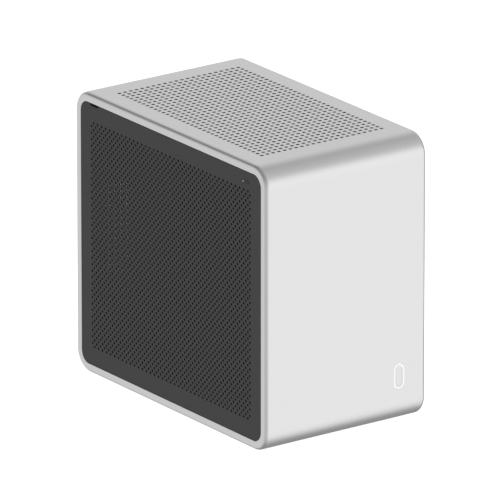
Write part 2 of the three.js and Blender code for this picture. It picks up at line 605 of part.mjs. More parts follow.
// A square frame with a round bore, corner holes and four struts that hold the motor plate.
function makeFan(name, position, rotation) {
  const group = new THREE.Group();
  group.position.set(...position);
  group.rotation.set(...rotation);
  tower.add(group);
  const half = FAN.thickness / 2;
  const boreRadius = FAN.size / 2 - FAN.rim;
  const body = prism(roundedRectangle(FAN.size, FAN.size, FAN.cornerRadius, 3), "z", [-half, half]);
  const bore = prism(circle(boreRadius, 32), "z", [-half - 1, half + 1]);
  const holeAt = FAN.size / 2 - FAN.screwInset;
  const holes = [[1, 1], [1, -1], [-1, 1], [-1, -1]].map(([u, v]) => prism(
    circle(FAN.screwRadius, 8), "z", [-half - 1, half + 1], u * holeAt, v * holeAt));
  const plateZ = [-half, -half + FAN.motorPlate];
  const motorPlate = prism(circle(FAN.hubRadius + 1, 20), "z", plateZ);
  const strut = box([FAN.hubRadius - 2, boreRadius + FAN.rim / 2], [-1.5, 1.5], plateZ);
  const struts = [0, 1, 2, 3].map((i) => strut.rotate([0, 0, 25 + i * 90]));
  addPiece(`${name}_frame`, joined(cut(body, bore, ...holes), motorPlate, ...struts), blackPlastic, group);
  const height = FAN.thickness - FAN.motorPlate - 2.5;
  const turning = rotorSolid({ ...FAN, height }, boreRadius - FAN.tipGap);
  const rotor = addPiece(`${name}_rotor`, turning, blackPlastic, group);
  rotor.position.z = half - 1 - height / 2;
}

// ---------------------------------------------------------------- graphics card

function makeGraphicsCard() {
  const boardZ = around(cardZ, CARD.thickness);
  const slotRear = boardRear - PCIE.fromRear;
  const fingers = box([cardRight - 1, onBoard - 4], [slotRear - PCIE.length + 4, slotRear - 4], boardZ);
  addPiece("gpu_board", joined(box([cardLeft, cardRight], [cardFront, cardRear], boardZ), fingers), circuit);

  const plateY = [cardFront, cardRear - 14];
  addPiece("gpu_backplate", box(
    [cardLeft, cardRight - 2], plateY, [boardZ[1] + SEAT, boardZ[1] + SEAT + SHEET]), greyPlastic);

  const sinkTop = boardZ[0] - 2 * SEAT;
  const shroudTop = sinkTop - 5.6;
  const shroudBottom = shroudTop - CARD.shroudDepth;
  const shroudX = [cardLeft - 3, cardRight - 1.7];
  const shroudY = [cardFront + 1, cardRear - 14];
  const middleX = (shroudX[0] + shroudX[1]) / 2;
  const halfLength = (shroudY[1] - shroudY[0]) / 2; // each fan has one half of the shroud
  const fanY = { front: shroudY[0] + halfLength / 2, rear: shroudY[1] - halfLength / 2 };
  const boreRadius = Math.min(shroudX[1] - shroudX[0], halfLength) / 2 - CARD.boreMargin;
  const wall = CARD.shroudWall;
  const inside = (range, by) => [range[0] + by, range[1] - by];
  const bores = Object.values(fanY).map((y) => prism(
    circle(boreRadius, 28), "z", [shroudBottom - 1, shroudTop], middleX, y));
  addPiece("gpu_shroud", cut(
    box(shroudX, shroudY, [shroudBottom, shroudTop]),
    box(inside(shroudX, wall), inside(shroudY, wall), [shroudBottom + wall, shroudTop + 1]),
    ...bores), blackPlastic);

  const sinkX = inside(shroudX, wall + 2);
  const sinkY = inside(shroudY, wall + 2);
  const base = box(sinkX, sinkY, [shroudTop + 0.5, sinkTop]);
  const pitch = (sinkY[1] - sinkY[0] - CARD.finThickness) / (CARD.fins - 1);
  const finZ = [shroudBottom + wall + CARD_FAN.height + 2.1, shroudTop + 1];
  const fins = Array.from({ length: CARD.fins }, (_, i) => box(
    sinkX, [sinkY[0] + i * pitch, sinkY[0] + i * pitch + CARD.finThickness], finZ));
  addPiece("gpu_heatsink", joined(base, ...fins), zinc);

  const fanZ = shroudBottom + CARD_FAN.frontGap + CARD_FAN.height / 2;
  for (const [end, y] of Object.entries(fanY)) {
    const turning = rotorSolid(CARD_FAN, boreRadius - CARD_FAN.tipGap);
    const rotor = addPiece(`gpu_fan_${end}`, turning, blackPlastic);
    rotor.position.set(middleX, y, fanZ);
  }
  makeCardBracket(boardZ[0]);
}

// The card's rear bracket: a two-slot plate with the tab that the screws hold, and its display sockets
// behind it.
function makeCardBracket(underBoard) {
  const plateY = [bracketY - SHEET, bracketY];
  const tabX = [ledgeX + SEAT, ledgeX + SEAT + SHEET];
  const plate = box([tabX[0], cardRight + BRACKET.pastSlot], plateY, bracketZ);
  const tab = box(tabX, [rearPanelY - BRACKET.tabDepth, bracketY], bracketZ);
  const portZ = [underBoard - SEAT - BRACKET.portHeight, underBoard - SEAT];
  const portMiddles = [0, 1, 2, 3].map((i) => cardLeft + BRACKET.firstPort + i * BRACKET.portPitch);
  const portY = [cardRear + 2 * SEAT, bracketY];
  const ports = portMiddles.map((x) => box(around(x, BRACKET.portWidth), portY, portZ));
  const sockets = portMiddles.map((x) => box(
    around(x, BRACKET.portWidth - 2 * BRACKET.portWall), [bracketY - SHEET - 0.4, bracketY + 1],
    around((portZ[0] + portZ[1]) / 2, BRACKET.portHeight - 2.5 * BRACKET.portWall)));
  const screwHoles = slotMiddles.map((z) => prism(
    screwClearance, "x", [tabX[0] - 1, tabX[1] + 1], screwY, z));
  addPiece("gpu_bracket", cut(joined(plate, tab, ...ports), ...sockets, ...screwHoles), zinc);

  const headEnd = ledgeX - SHEET - SEAT;
  const headX = [headEnd - THUMB_SCREW.headLength, headEnd];
  const shaftX = [headEnd - 1, tabX[1] + 4];
  ["upper", "lower"].forEach((place, i) => addPiece(`thumb_screw_${place}`, joined(
    prism(circle(THUMB_SCREW.headRadius, 14), "x", headX, screwY, slotMiddles[i]),
    prism(circle(THUMB_SCREW.shaftRadius, 8), "x", shaftX, screwY, slotMiddles[i])), blackPlastic));
}

// ---------------------------------------------------------------- power supply, inlet and leads

const leadPlug = { x: LEAD_PLUG.fromMiddle, y: (psuFront + psuRear) / 2 };

function makePowerSupply() {
  const outer = [around(0, PSU.width), [psuFront, psuRear], [psuBottom, psuTop]];
  const inner = outer.map(([low, high]) => [low + PSU.wall, high - PSU.wall]);
  const fanZ = (psuBottom + psuTop) / 2;
  const boreRadius = Math.min(PSU.width, PSU.height) / 2 - PSU.boreMargin;
  const bore = prism(circle(boreRadius, 32), "y", [psuRear - PSU.wall - 1, psuRear + 1], 0, fanZ);
  const plugHole = box(
    around(leadPlug.x, LEAD_PLUG.width + 1), around(leadPlug.y, LEAD_PLUG.depth + 1),
    [psuTop - PSU.wall - 1, psuTop + 1]);
  addPiece("psu_case", cut(box(...outer), box(...inner), bore, plugHole), steel);

  const rotor = addPiece("psu_fan_rotor", rotorSolid(PSU_FAN, boreRadius - PSU_FAN.tipGap), blackPlastic);
  rotor.rotation.x = -Math.PI / 2;
  rotor.position.set(0, psuRear - PSU.wall - 1.2 - PSU_FAN.height / 2, fanZ);
}

function makeInlet() {
  const z = [inletTop - INLET.height, inletTop];
  const flangeY = [rearPanelY + SEAT, rearPanelY + SEAT + INLET.flange];
  const flange = prism(
    roundedRectangle(INLET.width, INLET.height, 3, 3), "y", flangeY, inletX, (z[0] + z[1]) / 2);
  const lap = INLET.flangeLap;
  const body = box(
    around(inletX, INLET.width - 2 * lap), [flangeY[1] - INLET.bodyDepth, flangeY[0] + 0.5],
    [z[0] + lap, z[1] - lap]);
  const socket = box(
    around(inletX, INLET.socketWidth), [flangeY[1] - INLET.socketDepth, flangeY[1] + 1],
    around(z[1] - INLET.pinDrop, INLET.socketHeight));
  const rockerZ = z[0] + lap + 2 * ROCKER.wellEnd + ROCKER.height / 2 + 0.75;
  const rockerWell = box(
    around(inletX, ROCKER.width + 2 * ROCKER.wellSide), [flangeY[1] - ROCKER.wellDepth, flangeY[1] + 1],
    around(rockerZ, ROCKER.height + 2 * ROCKER.wellEnd));
  addPiece("ac_inlet", cut(joined(flange, body), socket, rockerWell), blackPlastic);

  const pivot = new THREE.Group();
  pivot.position.set(inletX, flangeY[1] - ROCKER.pivotDepth, rockerZ);
  pivot.rotation.x = THREE.MathUtils.degToRad(ROCKER.tilt);
  tower.add(pivot);
  const half = ROCKER.height / 2;
  const outline = [[-half, -3], [half, -3], [half, 4.4], [0, 2.4], [-half, 4.4]];
  const face = outline.map(([v, u]) => new THREE.Vector2(u, v)).reverse();
  addPiece("power_rocker", prism(face, "x", around(0, ROCKER.width)), blackPlastic, pivot);
}

function makeLeads() {
  const plugTop = psuTop + LEAD_PLUG.rise;
  addPiece("ac_plug", prism(
    roundedRectangle(LEAD_PLUG.width, LEAD_PLUG.depth, 3, 2), "z", [psuTop - LEAD_PLUG.insert, plugTop],
    leadPlug.x, leadPlug.y), blackPlastic);

  const highZ = boardTop + 9.5;
  const inletBack = rearPanelY + SEAT + INLET.flange - INLET.bodyDepth - SEAT;
  const inletZ = inletTop - INLET.pinDrop;
  const start = plugTop + SEAT;
  addPiece("ac_lead", bar([
    [leadPlug.x, leadPlug.y, start], [leadPlug.x, leadPlug.y, start + 7],
    [leadPlug.x - 3, leadPlug.y + 12, highZ - 2],
    [20, -70, highZ], [2, -20, highZ], [-16, 30, highZ], [-34, 76, highZ],
    [inletX, inletBack - 18, highZ - 8], [inletX, inletBack - 7, inletZ], [inletX, inletBack, inletZ],
  ], 3.2, 8, 34), cable);

  const plugY = [boardFront + ATX_PLUG.fromFront, boardFront + ATX_PLUG.fromFront + ATX_PLUG.width];
  const plugBottom = boardBottom + ATX_PLUG.aboveBoardEdge;
  const plugZ = [plugBottom, plugBottom + ATX_PLUG.length];
  const wire = { x: onBoard - ATX_PLUG.reach, y: (plugY[0] + plugY[1]) / 2, z: (plugZ[0] + plugZ[1]) / 2 };
  const underPsu = psuBottom - SEAT;
  addPiece("atx_cable", joined(onTheBoard(ATX_PLUG.reach, plugY, plugZ), bar([
    [wire.x + 2, wire.y, wire.z], [wire.x - 8, wire.y, wire.z], [wire.x - 16, wire.y - 8, wire.z - 10],
    [16, wire.y - 24, underPsu - 8], [17, psuRear + 6, underPsu - 16],
    [19, psuRear - 14, underPsu - 16], [20, leadPlug.y, underPsu - 8], [20, leadPlug.y, underPsu],
  ], 4.2, 10, 26)), cable);

  const plug = [
    [cardLeft + 16, cardLeft + 36], [cardFront - 16, cardFront - SEAT],
    [cardZ - 11, cardZ + CARD.thickness / 2]];
  const plugMid = [cardLeft + 26, plug[1][0] + 1, cardZ - 5];
  addPiece("gpu_cable", joined(box(...plug), bar([
    plugMid, [plugMid[0], plugMid[1] - 7, plugMid[2]], [plugMid[0] + 1, plugMid[1] - 13, plugMid[2] + 9],
    [plugMid[0] + 2, psuRear - 38, underPsu - 10], [plugMid[0] + 3, psuRear - 30, underPsu - 8],
    [plugMid[0] + 3, psuRear - 30, underPsu],
  ], 3.5, 8, 18)), cable);

  const header = { y: [boardFront + 3, boardFront + 9], z: [boardBottom + 3, boardBottom + 8], height: 8 };
  const headerMid = [onBoard - header.height / 2, header.y[0], (header.z[0] + header.z[1]) / 2];
  const exit = [buttonX, switchBack + SEAT, buttonZ - SWITCH_BOARD.wireDrop];
  addPiece("front_panel_cable", joined(onTheBoard(header.height, header.y, header.z), bar([
    exit, [exit[0], exit[1] + 7, exit[2]], [exit[0] - 1, exit[1] + 32, exit[2] + 2],
    [headerMid[0] + 0.5, headerMid[1] - 32, headerMid[2] - 8], [headerMid[0], headerMid[1] - 8, headerMid[2]],
    [headerMid[0], headerMid[1] + 2, headerMid[2]],
  ], SWITCH_BOARD.wireRadius, 8, 22)), cable);
}

// ---------------------------------------------------------------- assembly

makeSleeve();
for (const [name, side] of [["left", -1], ["right", 1]]) {
  makeSideFrame(`${name}_frame`, side);
  makeSidePanel(`${name}_side_panel`, side);
  for (const [end, way] of [["front", -1], ["rear", 1]]) makeFoot(`foot_${end}_${name}`, side, way);
}
makeRearPanel();
makeTray();
makeTopFanBracket();
makePsuBracket();
makeButton();
makeMotherboard();
for (const [end, way] of [["front", -1], ["rear", 1]]) {
  makeFan(`top_fan_${end}`, [0, (way * fanPitch) / 2, fanTopZ - FAN.thickness / 2], [0, 0, 0]);
}
makeGraphicsCard();
makePowerSupply();
makeInlet();
makeLeads();

export default tower;
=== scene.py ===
"""A compact desktop computer tower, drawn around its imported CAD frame.

Lengths inside this file are millimetres, +Z up, with the front at -Y. make_piece turns them into metres.
"""

import json
import math

import bmesh
import bpy
import numpy as np
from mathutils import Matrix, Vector
from mathutils.geometry import delaunay_2d_cdt


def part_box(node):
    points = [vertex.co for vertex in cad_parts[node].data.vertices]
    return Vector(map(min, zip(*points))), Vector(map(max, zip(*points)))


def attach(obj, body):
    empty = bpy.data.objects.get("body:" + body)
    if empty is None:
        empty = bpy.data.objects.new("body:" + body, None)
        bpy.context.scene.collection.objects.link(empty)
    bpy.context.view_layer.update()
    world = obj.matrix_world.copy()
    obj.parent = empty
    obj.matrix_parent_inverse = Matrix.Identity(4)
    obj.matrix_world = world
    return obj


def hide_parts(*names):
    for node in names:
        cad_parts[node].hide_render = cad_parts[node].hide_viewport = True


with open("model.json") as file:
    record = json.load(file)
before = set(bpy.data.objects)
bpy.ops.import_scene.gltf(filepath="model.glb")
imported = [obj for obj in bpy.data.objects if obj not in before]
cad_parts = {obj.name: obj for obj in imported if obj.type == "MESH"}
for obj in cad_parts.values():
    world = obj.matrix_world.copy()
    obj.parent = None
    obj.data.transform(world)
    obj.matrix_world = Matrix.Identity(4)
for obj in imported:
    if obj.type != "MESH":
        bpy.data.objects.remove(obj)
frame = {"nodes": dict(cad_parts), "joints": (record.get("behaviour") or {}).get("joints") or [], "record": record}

bl_info = {
    "name": "Desktop tower",
    "version": (1, 0, 0),
    "blender": (4, 5, 0),
    "location": "View3D > Sidebar > Tower",
    "description": "Builds the visual pieces of a compact desktop computer tower around its CAD frame",
    "category": "Object",
}

MM = 0.001
SUPPORT = 0.3            # width of the strip that keeps a flat face's shading flat beside a fillet
WELD = 2e-6              # points closer than this, in metres, are one point
SHARP = math.radians(38)


def node_box(name):
    """Lowest and highest corner of a CAD node, in millimetres."""
    low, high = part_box(name)
    return np.array(low) / MM, np.array(high) / MM


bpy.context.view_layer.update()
SHELL_LOW, SHELL_HIGH = node_box("outer_shell")
HALF_W, HALF_D = SHELL_HIGH[0], SHELL_HIGH[1]
BASE_Z, TOP_Z = SHELL_LOW[2], SHELL_HIGH[2]
MID_Z = (BASE_Z + TOP_Z) / 2
HALF_H = (TOP_Z - BASE_Z) / 2


# ---------------------------------------------------------------- settings a user may change

class SleeveSettings(bpy.types.PropertyGroup):
    """Sizes of the aluminium sleeve."""
    corner_radius: bpy.props.FloatProperty(
        name="Corner radius", description="Radius of the sleeve's four big corners, in mm", default=18.8)
    edge_fillet: bpy.props.FloatProperty(
        name="Edge fillet", description="Radius between the walls and the side rims, in mm", default=3.5)
    wall: bpy.props.FloatProperty(name="Wall", description="Thickness of the walls, in mm", default=2.0)
    rim_width: bpy.props.FloatProperty(
        name="Rim width", description="Width of the rim round each side panel, in mm", default=8.2)
    rim_thickness: bpy.props.FloatProperty(
        name="Rim thickness", description="Thickness of the rim, in mm", default=2.5)
    pitch: bpy.props.FloatProperty(
        name="Hole pitch", description="Pitch of the square grid of vent holes, in mm", default=6.0)
    hole: bpy.props.FloatProperty(name="Hole diameter", description="Diameter of a vent hole, in mm", default=3.5)
    rows: bpy.props.IntProperty(name="Hole rows", description="Vent holes from front to rear", default=36)
    columns: bpy.props.IntProperty(name="Hole columns", description="Vent holes across the width", default=22)
    colour: bpy.props.StringProperty(name="Colour", description="sRGB colour of the aluminium", default="#dcdcdd")


class PanelSettings(bpy.types.PropertyGroup):
    """Sizes of a side panel."""
    thickness: bpy.props.FloatProperty(name="Thickness", description="Sheet thickness, in mm", default=1.5)
    half_pitch: bpy.props.FloatProperty(
        name="Half pitch", description="Half the pitch of the staggered holes, in mm", default=3.0)
    hole: bpy.props.FloatProperty(name="Hole diameter", description="Diameter of a hole, in mm", default=2.5)
    columns: bpy.props.IntProperty(
        name="Half columns", description="Half pitches from the middle to the last hole, front to rear", default=39)
    rows: bpy.props.IntProperty(
        name="Half rows", description="Half pitches from the middle to the last hole, upwards", default=34)
    corner_radius: bpy.props.FloatProperty(name="Corner radius", description="In mm", default=10.2)
    edge: bpy.props.FloatProperty(name="Edge radius", description="Softening of the front edge, in mm", default=0.35)
    colour: bpy.props.StringProperty(name="Colour", description="sRGB colour of the powder coat", default="#48484a")


class StageSettings(bpy.types.PropertyGroup):
    """Camera, floor and lights."""
    azimuth: bpy.props.FloatProperty(
        name="Azimuth", description="Direction the camera stands in", default=math.radians(-35.667), unit="ROTATION")
    elevation: bpy.props.FloatProperty(
        name="Elevation", description="Height of the camera above the horizon", default=math.radians(18.712),
        unit="ROTATION")
    lens: bpy.props.FloatProperty(name="Lens", description="Focal length on a 36 mm sensor", default=801.1)
    floor_colour: bpy.props.StringProperty(name="Floor colour", description="sRGB colour", default="#ffffff")
    floor_glow: bpy.props.FloatProperty(
        name="Floor glow", description="Light the white floor gives off, so that it stays white", default=0.80)


# ---------------------------------------------------------------- meshes

def make_piece(name, parts, look, replaces=(), body="chassis", slot=None, smooth=True):
    """A piece from (vertices, faces) pairs in millimetres: the parts are welded into closed shells, their faces are
    turned outwards, and edges sharper than SHARP stay crisp."""
    vertices = []
    faces = []
    start = 0
    for points, polygons in parts:
        points = np.asarray(points, float).reshape(-1, 3)
        vertices.append(points)
        for block in polygons if isinstance(polygons, list) else [polygons]:
            faces.extend((np.asarray(block) + start).tolist())
        start += len(points)
    mesh = bpy.data.meshes.new(name)
    mesh.from_pydata((np.concatenate(vertices) * MM).tolist(), [], faces)
    shell = bmesh.new()
    shell.from_mesh(mesh)
    bmesh.ops.remove_doubles(shell, verts=shell.verts, dist=WELD)
    bmesh.ops.dissolve_degenerate(shell, edges=shell.edges, dist=WELD / 4)
    bmesh.ops.recalc_face_normals(shell, faces=shell.faces)
    shell.to_mesh(mesh)
    shell.free()
    if smooth:
        mesh.shade_smooth()
        mesh.set_sharp_from_angle(angle=SHARP)
    piece = bpy.data.objects.new(name, mesh)
    bpy.context.scene.collection.objects.link(piece)
    mesh.materials.append(MATERIALS[look])
    slot = slot or SLOTS[look]
    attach(piece, body)
    if replaces:
        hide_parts(*replaces)


def grid_faces(rows, columns, close_rows=False, close_columns=False):
    """Quads of a grid of rows x columns points, wrapped round where it is closed, as an array of rows of cells."""
    i = np.arange(rows if close_rows else rows - 1)[:, None]
    j = np.arange(columns if close_columns else columns - 1)[None, :]
    i2, j2 = (i + 1) % rows, (j + 1) % columns
    corners = [i * columns + j, i2 * columns + j, i2 * columns + j2, i * columns + j2]
    return np.stack(np.broadcast_arrays(*corners), axis=-1)


def box_part(low, high):
    """The eight corners and six faces of a box."""
    low, high = np.asarray(low, float), np.asarray(high, float)
    pick = np.array([[0, 0, 0], [1, 0, 0], [1, 1, 0], [0, 1, 0], [0, 0, 1], [1, 0, 1], [1, 1, 1], [0, 1, 1]])
    faces = [[0, 3, 2, 1], [4, 5, 6, 7], [0, 1, 5, 4], [1, 2, 6, 5], [2, 3, 7, 6], [3, 0, 4, 7]]
    return low + pick * (high - low), [faces]


def rounded_loop(half_u, half_v, radius, arc=10, support=0.0):
    """Points and outward normals round a rectangle with round corners: each corner is the quarter circle
    centre + radius * (cos t, sin t), with one more point on each side of it, a support width along the straight."""
    t = np.linspace(0, np.pi / 2, arc + 1)
    points, normals = [], []
    for quarter, (su, sv) in enumerate([(1, 1), (-1, 1), (-1, -1), (1, -1)]):
        angle = t + quarter * np.pi / 2
        normal = np.stack([np.cos(angle), np.sin(angle)], axis=1)
        point = np.array([su * (half_u - radius), sv * (half_v - radius)]) + radius * normal
        if support:
            before = np.array([normal[0, 1], -normal[0, 0]])
            after = np.array([-normal[-1, 1], normal[-1, 0]])
            point = np.vstack([point[0] + support * before, point, point[-1] + support * after])
            normal = np.vstack([normal[0], normal, normal[-1]])
        points.append(point)
        normals.append(normal)
    return np.concatenate(points), np.concatenate(normals)


def plane_part(place, depth, outer, *holes):
    """The flat area inside the outer loop and outside the holes: triangles between the loops' own points,
    laid in space by place(u, v, depth)."""
    loops = [np.asarray(loop, float) for loop in (outer, *holes)]
    edges = []
    start = 0
    for loop in loops:
        ring = np.arange(len(loop))
        edges.extend(np.stack([ring, (ring + 1) % len(loop)], axis=1) + start)
        start += len(loop)
    flat = np.concatenate(loops)
    found = delaunay_2d_cdt([Vector(p) for p in flat], np.array(edges).tolist(), [], 1, 1e-5)
    points, triangles = np.array([tuple(p) for p in found[0]]), np.array(found[2])
    middle = points[triangles].mean(axis=1)
    inside = np.zeros(len(triangles), bool)
    for loop in loops:
        inside ^= inside_loop(middle, loop)
    return place(points[:, 0], points[:, 1], depth), [triangles[inside]]


def inside_loop(points, loop):
    """Which points lie inside a loop: a ray to the right crosses its edges an odd number of times."""
    a, b = loop, np.roll(loop, -1, axis=0)
    u, v = points[:, None, 0], points[:, None, 1]
    spans = (a[:, 1] > v) != (b[:, 1] > v)
    rise = np.where(spans, b[:, 1] - a[:, 1], 1.0)
    crossing = a[:, 0] + (v - a[:, 1]) * (b[:, 0] - a[:, 0]) / rise
    return (np.sum(spans & (u < crossing), axis=1) % 2).astype(bool)


def wall_part(place, loop, near, far):
    """The wall that joins a loop at one depth to the same loop at another."""
    u, v = np.asarray(loop).T
    points = np.stack([place(u, v, near), place(u, v, far)])
    return points, [grid_faces(2, len(u), close_columns=True).reshape(-1, 4)]


HOLE_SIDES = 12


def perforated_part(place, centres, reach, turn, radius, thickness, chamfer):
    """A sheet cut into equal four-cornered cells, one round each centre, each with a round hole. A cell's corners
    lie at the distance reach from its centre, at turn + 45 degrees and on by quarters, and every ring of the hole
    is radius * (cos t, sin t). The same small template is moved to every centre at once."""
    ring_angle = turn + np.arange(HOLE_SIDES) * 2 * np.pi / HOLE_SIDES
    corner_angle = turn + np.pi / 4 + np.arange(4) * np.pi / 2
    circle = np.stack([np.cos(ring_angle), np.sin(ring_angle)], axis=1)
    corners = reach * np.stack([np.cos(corner_angle), np.sin(corner_angle)], axis=1)
    rings = [(radius + chamfer, 0.0), (radius, chamfer), (radius, thickness)]
    flat = np.concatenate([corners, *[r * circle for r, _ in rings], corners])
    depth = np.repeat([0.0] + [d for _, d in rings] + [thickness], [4] + [HOLE_SIDES] * len(rings) + [4])

    per_quarter = HOLE_SIDES // 4
    k = np.arange(HOLE_SIDES)
    m = np.arange(4)

    def face_triangles(corner_start, ring_start):
        fan = np.stack([corner_start + k // per_quarter, ring_start + k, ring_start + (k + 1) % HOLE_SIDES], axis=1)
        gap = np.stack([
            corner_start + m, ring_start + (m + 1) * per_quarter % HOLE_SIDES, corner_start + (m + 1) % 4], axis=1)
        return np.concatenate([fan, gap])

    first = 4
    last = first + HOLE_SIDES * (len(rings) - 1)
    back = last + HOLE_SIDES
    triangles = np.concatenate([face_triangles(0, first), face_triangles(back, last)])
    quads = grid_faces(len(rings), HOLE_SIDES, close_columns=True).reshape(-1, 4) + first
    count = len(flat)
    u = centres[:, None, 0] + flat[None, :, 0]
    v = centres[:, None, 1] + flat[None, :, 1]
    points = place(u, v, np.broadcast_to(depth, u.shape)).reshape(-1, 3)
    shift = (np.arange(len(centres)) * count)[:, None, None]
    return points, [(triangles + shift).reshape(-1, 3), (quads + shift).reshape(-1, 4)]


def lattice_edge(half_u, half_v, step):
    """The rectangle round a field of cells, with a point every step along it."""
    u = np.arange(-half_u, half_u - step / 2, step)
    v = np.arange(-half_v, half_v - step / 2, step)
    return np.concatenate([
        np.stack([u, np.full_like(u, -half_v)], axis=1), np.stack([np.full_like(v, half_u), v], axis=1),
        np.stack([-u, np.full_like(u, half_v)], axis=1), np.stack([np.full_like(v, -half_u), -v], axis=1)])


# ---------------------------------------------------------------- materials

def linear(colour):
    """An sRGB hex colour as linear red, green, blue and alpha."""
    values = [int(colour[i:i + 2], 16) / 255 for i in (1, 3, 5)]
    return [v / 12.92 if v <= 0.04045 else ((v + 0.055) / 1.055) ** 2.4 for v in values] + [1.0]


def add_node(tree, kind, settings=None, links=None):
    """Adds a node. settings are its own properties, or input sockets by name; links join its inputs to outputs."""
    node = tree.nodes.new(kind)
    for key, value in (settings or {}).items():
        if hasattr(node, key):
            setattr(node, key, value)
        else:
            node.inputs[key].default_value = value
    for key, output in (links or {}).items():
        tree.links.new(output, node.inputs[key])
    return node


def new_material(name, colour, metallic, roughness, **sockets):
    """A material with a Principled shader; returns the material, its node tree and the shader."""
    material = bpy.data.materials.new(name)
    material.use_nodes = True
    tree = material.node_tree
    shader = tree.nodes["Principled BSDF"]
    settings = {"Base Color": linear(colour), "Metallic": metallic, "Roughness": roughness, **sockets}
    for key, value in settings.items():
        shader.inputs[key].default_value = value
    return material, tree, shader


def per_metre(size_mm):
    """Noise scale that gives features of a size in millimetres."""
    return 1000.0 / size_mm


def grain(tree, shader, size_mm, height_mm, roughness_low, roughness_high, detail=2.0):
    """Fine surface relief and the uneven sheen that goes with it, both from one noise in the piece's own space."""
    where = add_node(tree, "ShaderNodeTexCoord")
    noise = add_node(tree, "ShaderNodeTexNoise", {"Scale": per_metre(size_mm), "Detail": detail},
                     {"Vector": where.outputs["Object"]})
    bump = add_node(tree, "ShaderNodeBump", {"Strength": 1.0, "Distance": height_mm * MM},
                    {"Height": noise.outputs["Fac"]})
    tree.links.new(bump.outputs["Normal"], shader.inputs["Normal"])
    spread = add_node(tree, "ShaderNodeMapRange",
                      {"From Min": 0.3, "From Max": 0.7, "To Min": roughness_low, "To Max": roughness_high},
                      {"Value": noise.outputs["Fac"]})
    tree.links.new(spread.outputs["Result"], shader.inputs["Roughness"])


BOARD_GREEN, TRACK_GREEN = "#0c1512", "#1d3a31"

# Each look: its material's name, colour, metallic, roughness, the grain as (size and height in mm, lowest and highest
# roughness, noise detail), and its other sockets. A colour of None comes from the settings.
LOOKS = {
    # bead-blasted, clear-anodised aluminium: an even, silky grey with no brush lines
    "aluminium": ("anodised_aluminium", None, 1.0, 0.42, (0.45, 0.004, 0.40, 0.45, 2.0), {}),
    # matt powder coat over steel: dark grey with a faint orange peel
    "powder_coat": ("powder_coat", None, 0.0, 0.62, (0.7, 0.01, 0.58, 0.68, 2.0), {"Specular IOR Level": 0.35}),
    # clear white acrylic with a lamp behind it: glows evenly
    "light_guide": ("light_guide", "#202020", 0.0, 0.5, None, {
        "Specular IOR Level": 0.2, "Emission Color": linear("#ffffff"), "Emission Strength": 0.93}),
    # moulded ABS with a fine spark-eroded texture
    "plastic": ("black_abs", "#1b1b1d", 0.0, 0.5, (0.5, 0.01, 0.45, 0.6, 2.0), {}),
    # satin black electrocoat on folded steel sheet
    "steel": ("coated_steel", "#222325", 0.0, 0.45, (1.2, 0.006, 0.4, 0.52, 2.0), {}),
    # zinc-plated steel: a cool, slightly cloudy sheen
    "zinc": ("zinc_plate", "#b9bcc0", 1.0, 0.3, (6.0, 0.002, 0.24, 0.36, 4.0), {}),
    # milled aluminium fins and blocks, left bare: bright, with a fine uneven sheen
    "bare": ("bare_aluminium", "#c9cbcd", 1.0, 0.32, (1.5, 0.003, 0.28, 0.38, 2.0), {}),
    # drawn copper tube and plate, with a slightly uneven satin surface
    "copper": ("copper", "#c9835c", 1.0, 0.28, (3.0, 0.003, 0.22, 0.34, 3.0), {}),
    # gold flash on spring contacts: smooth and warm
    "gold": ("gold_contact", "#d8b25a", 1.0, 0.25, None, {}),
    # matt black moulded rubber
    "rubber": ("moulded_rubber", "#161617", 0.0, 0.8, (0.8, 0.02, 0.75, 0.9, 2.0), {"Specular IOR Level": 0.25}),
    # soft PVC over wires, black
    "cable": ("cable_sheath", "#151516", 0.0, 0.5, (0.9, 0.01, 0.45, 0.6, 2.0), {}),
    # solder mask over copper: circuit_board draws its tracks
    "board": ("solder_mask", BOARD_GREEN, 0.0, 0.35, None, {}),
    # glass-filled nylon, in grey, in the sockets' dark teal and in the badge's near-black: a faint sheen
    "grey": ("grey_nylon", "#3a3c40", 0.0, 0.48, (0.6, 0.008, 0.42, 0.56, 2.0), {}),
    "teal": ("port_insert", "#1f2b2e", 0.0, 0.48, (0.6, 0.008, 0.42, 0.56, 2.0), {}),
    "ink": ("badge_ink", "#0a0a0b", 0.0, 0.48, (0.6, 0.008, 0.42, 0.56, 2.0), {}),
}
SLOTS = {                # the record's material slot that each look stands for
    "aluminium": "shell_aluminium", "powder_coat": "panel_coat", "light_guide": "light_guide",
    "plastic": "black_plastic", "steel": "chassis_steel", "zinc": "zinc_plate", "bare": "bare_aluminium",
    "copper": "copper", "rubber": "foot_rubber", "cable": "cable_sheath", "board": "circuit_board",
    "grey": "grey_plastic", "teal": "black_plastic", "ink": "black_plastic", "gold": "copper",
}
MATERIALS = {}


def make_materials(**colours):
    """Fills MATERIALS from LOOKS, with the colours given for the looks that have none of their own."""
    for look, (name, colour, metallic, roughness, relief, sockets) in LOOKS.items():
        material, tree, shader = new_material(name, colours.get(look, colour), metallic, roughness, **sockets)
        if relief:
            grain(tree, shader, *relief)
        MATERIALS[look] = material
        if look == "board":
            circuit_board(tree, shader)


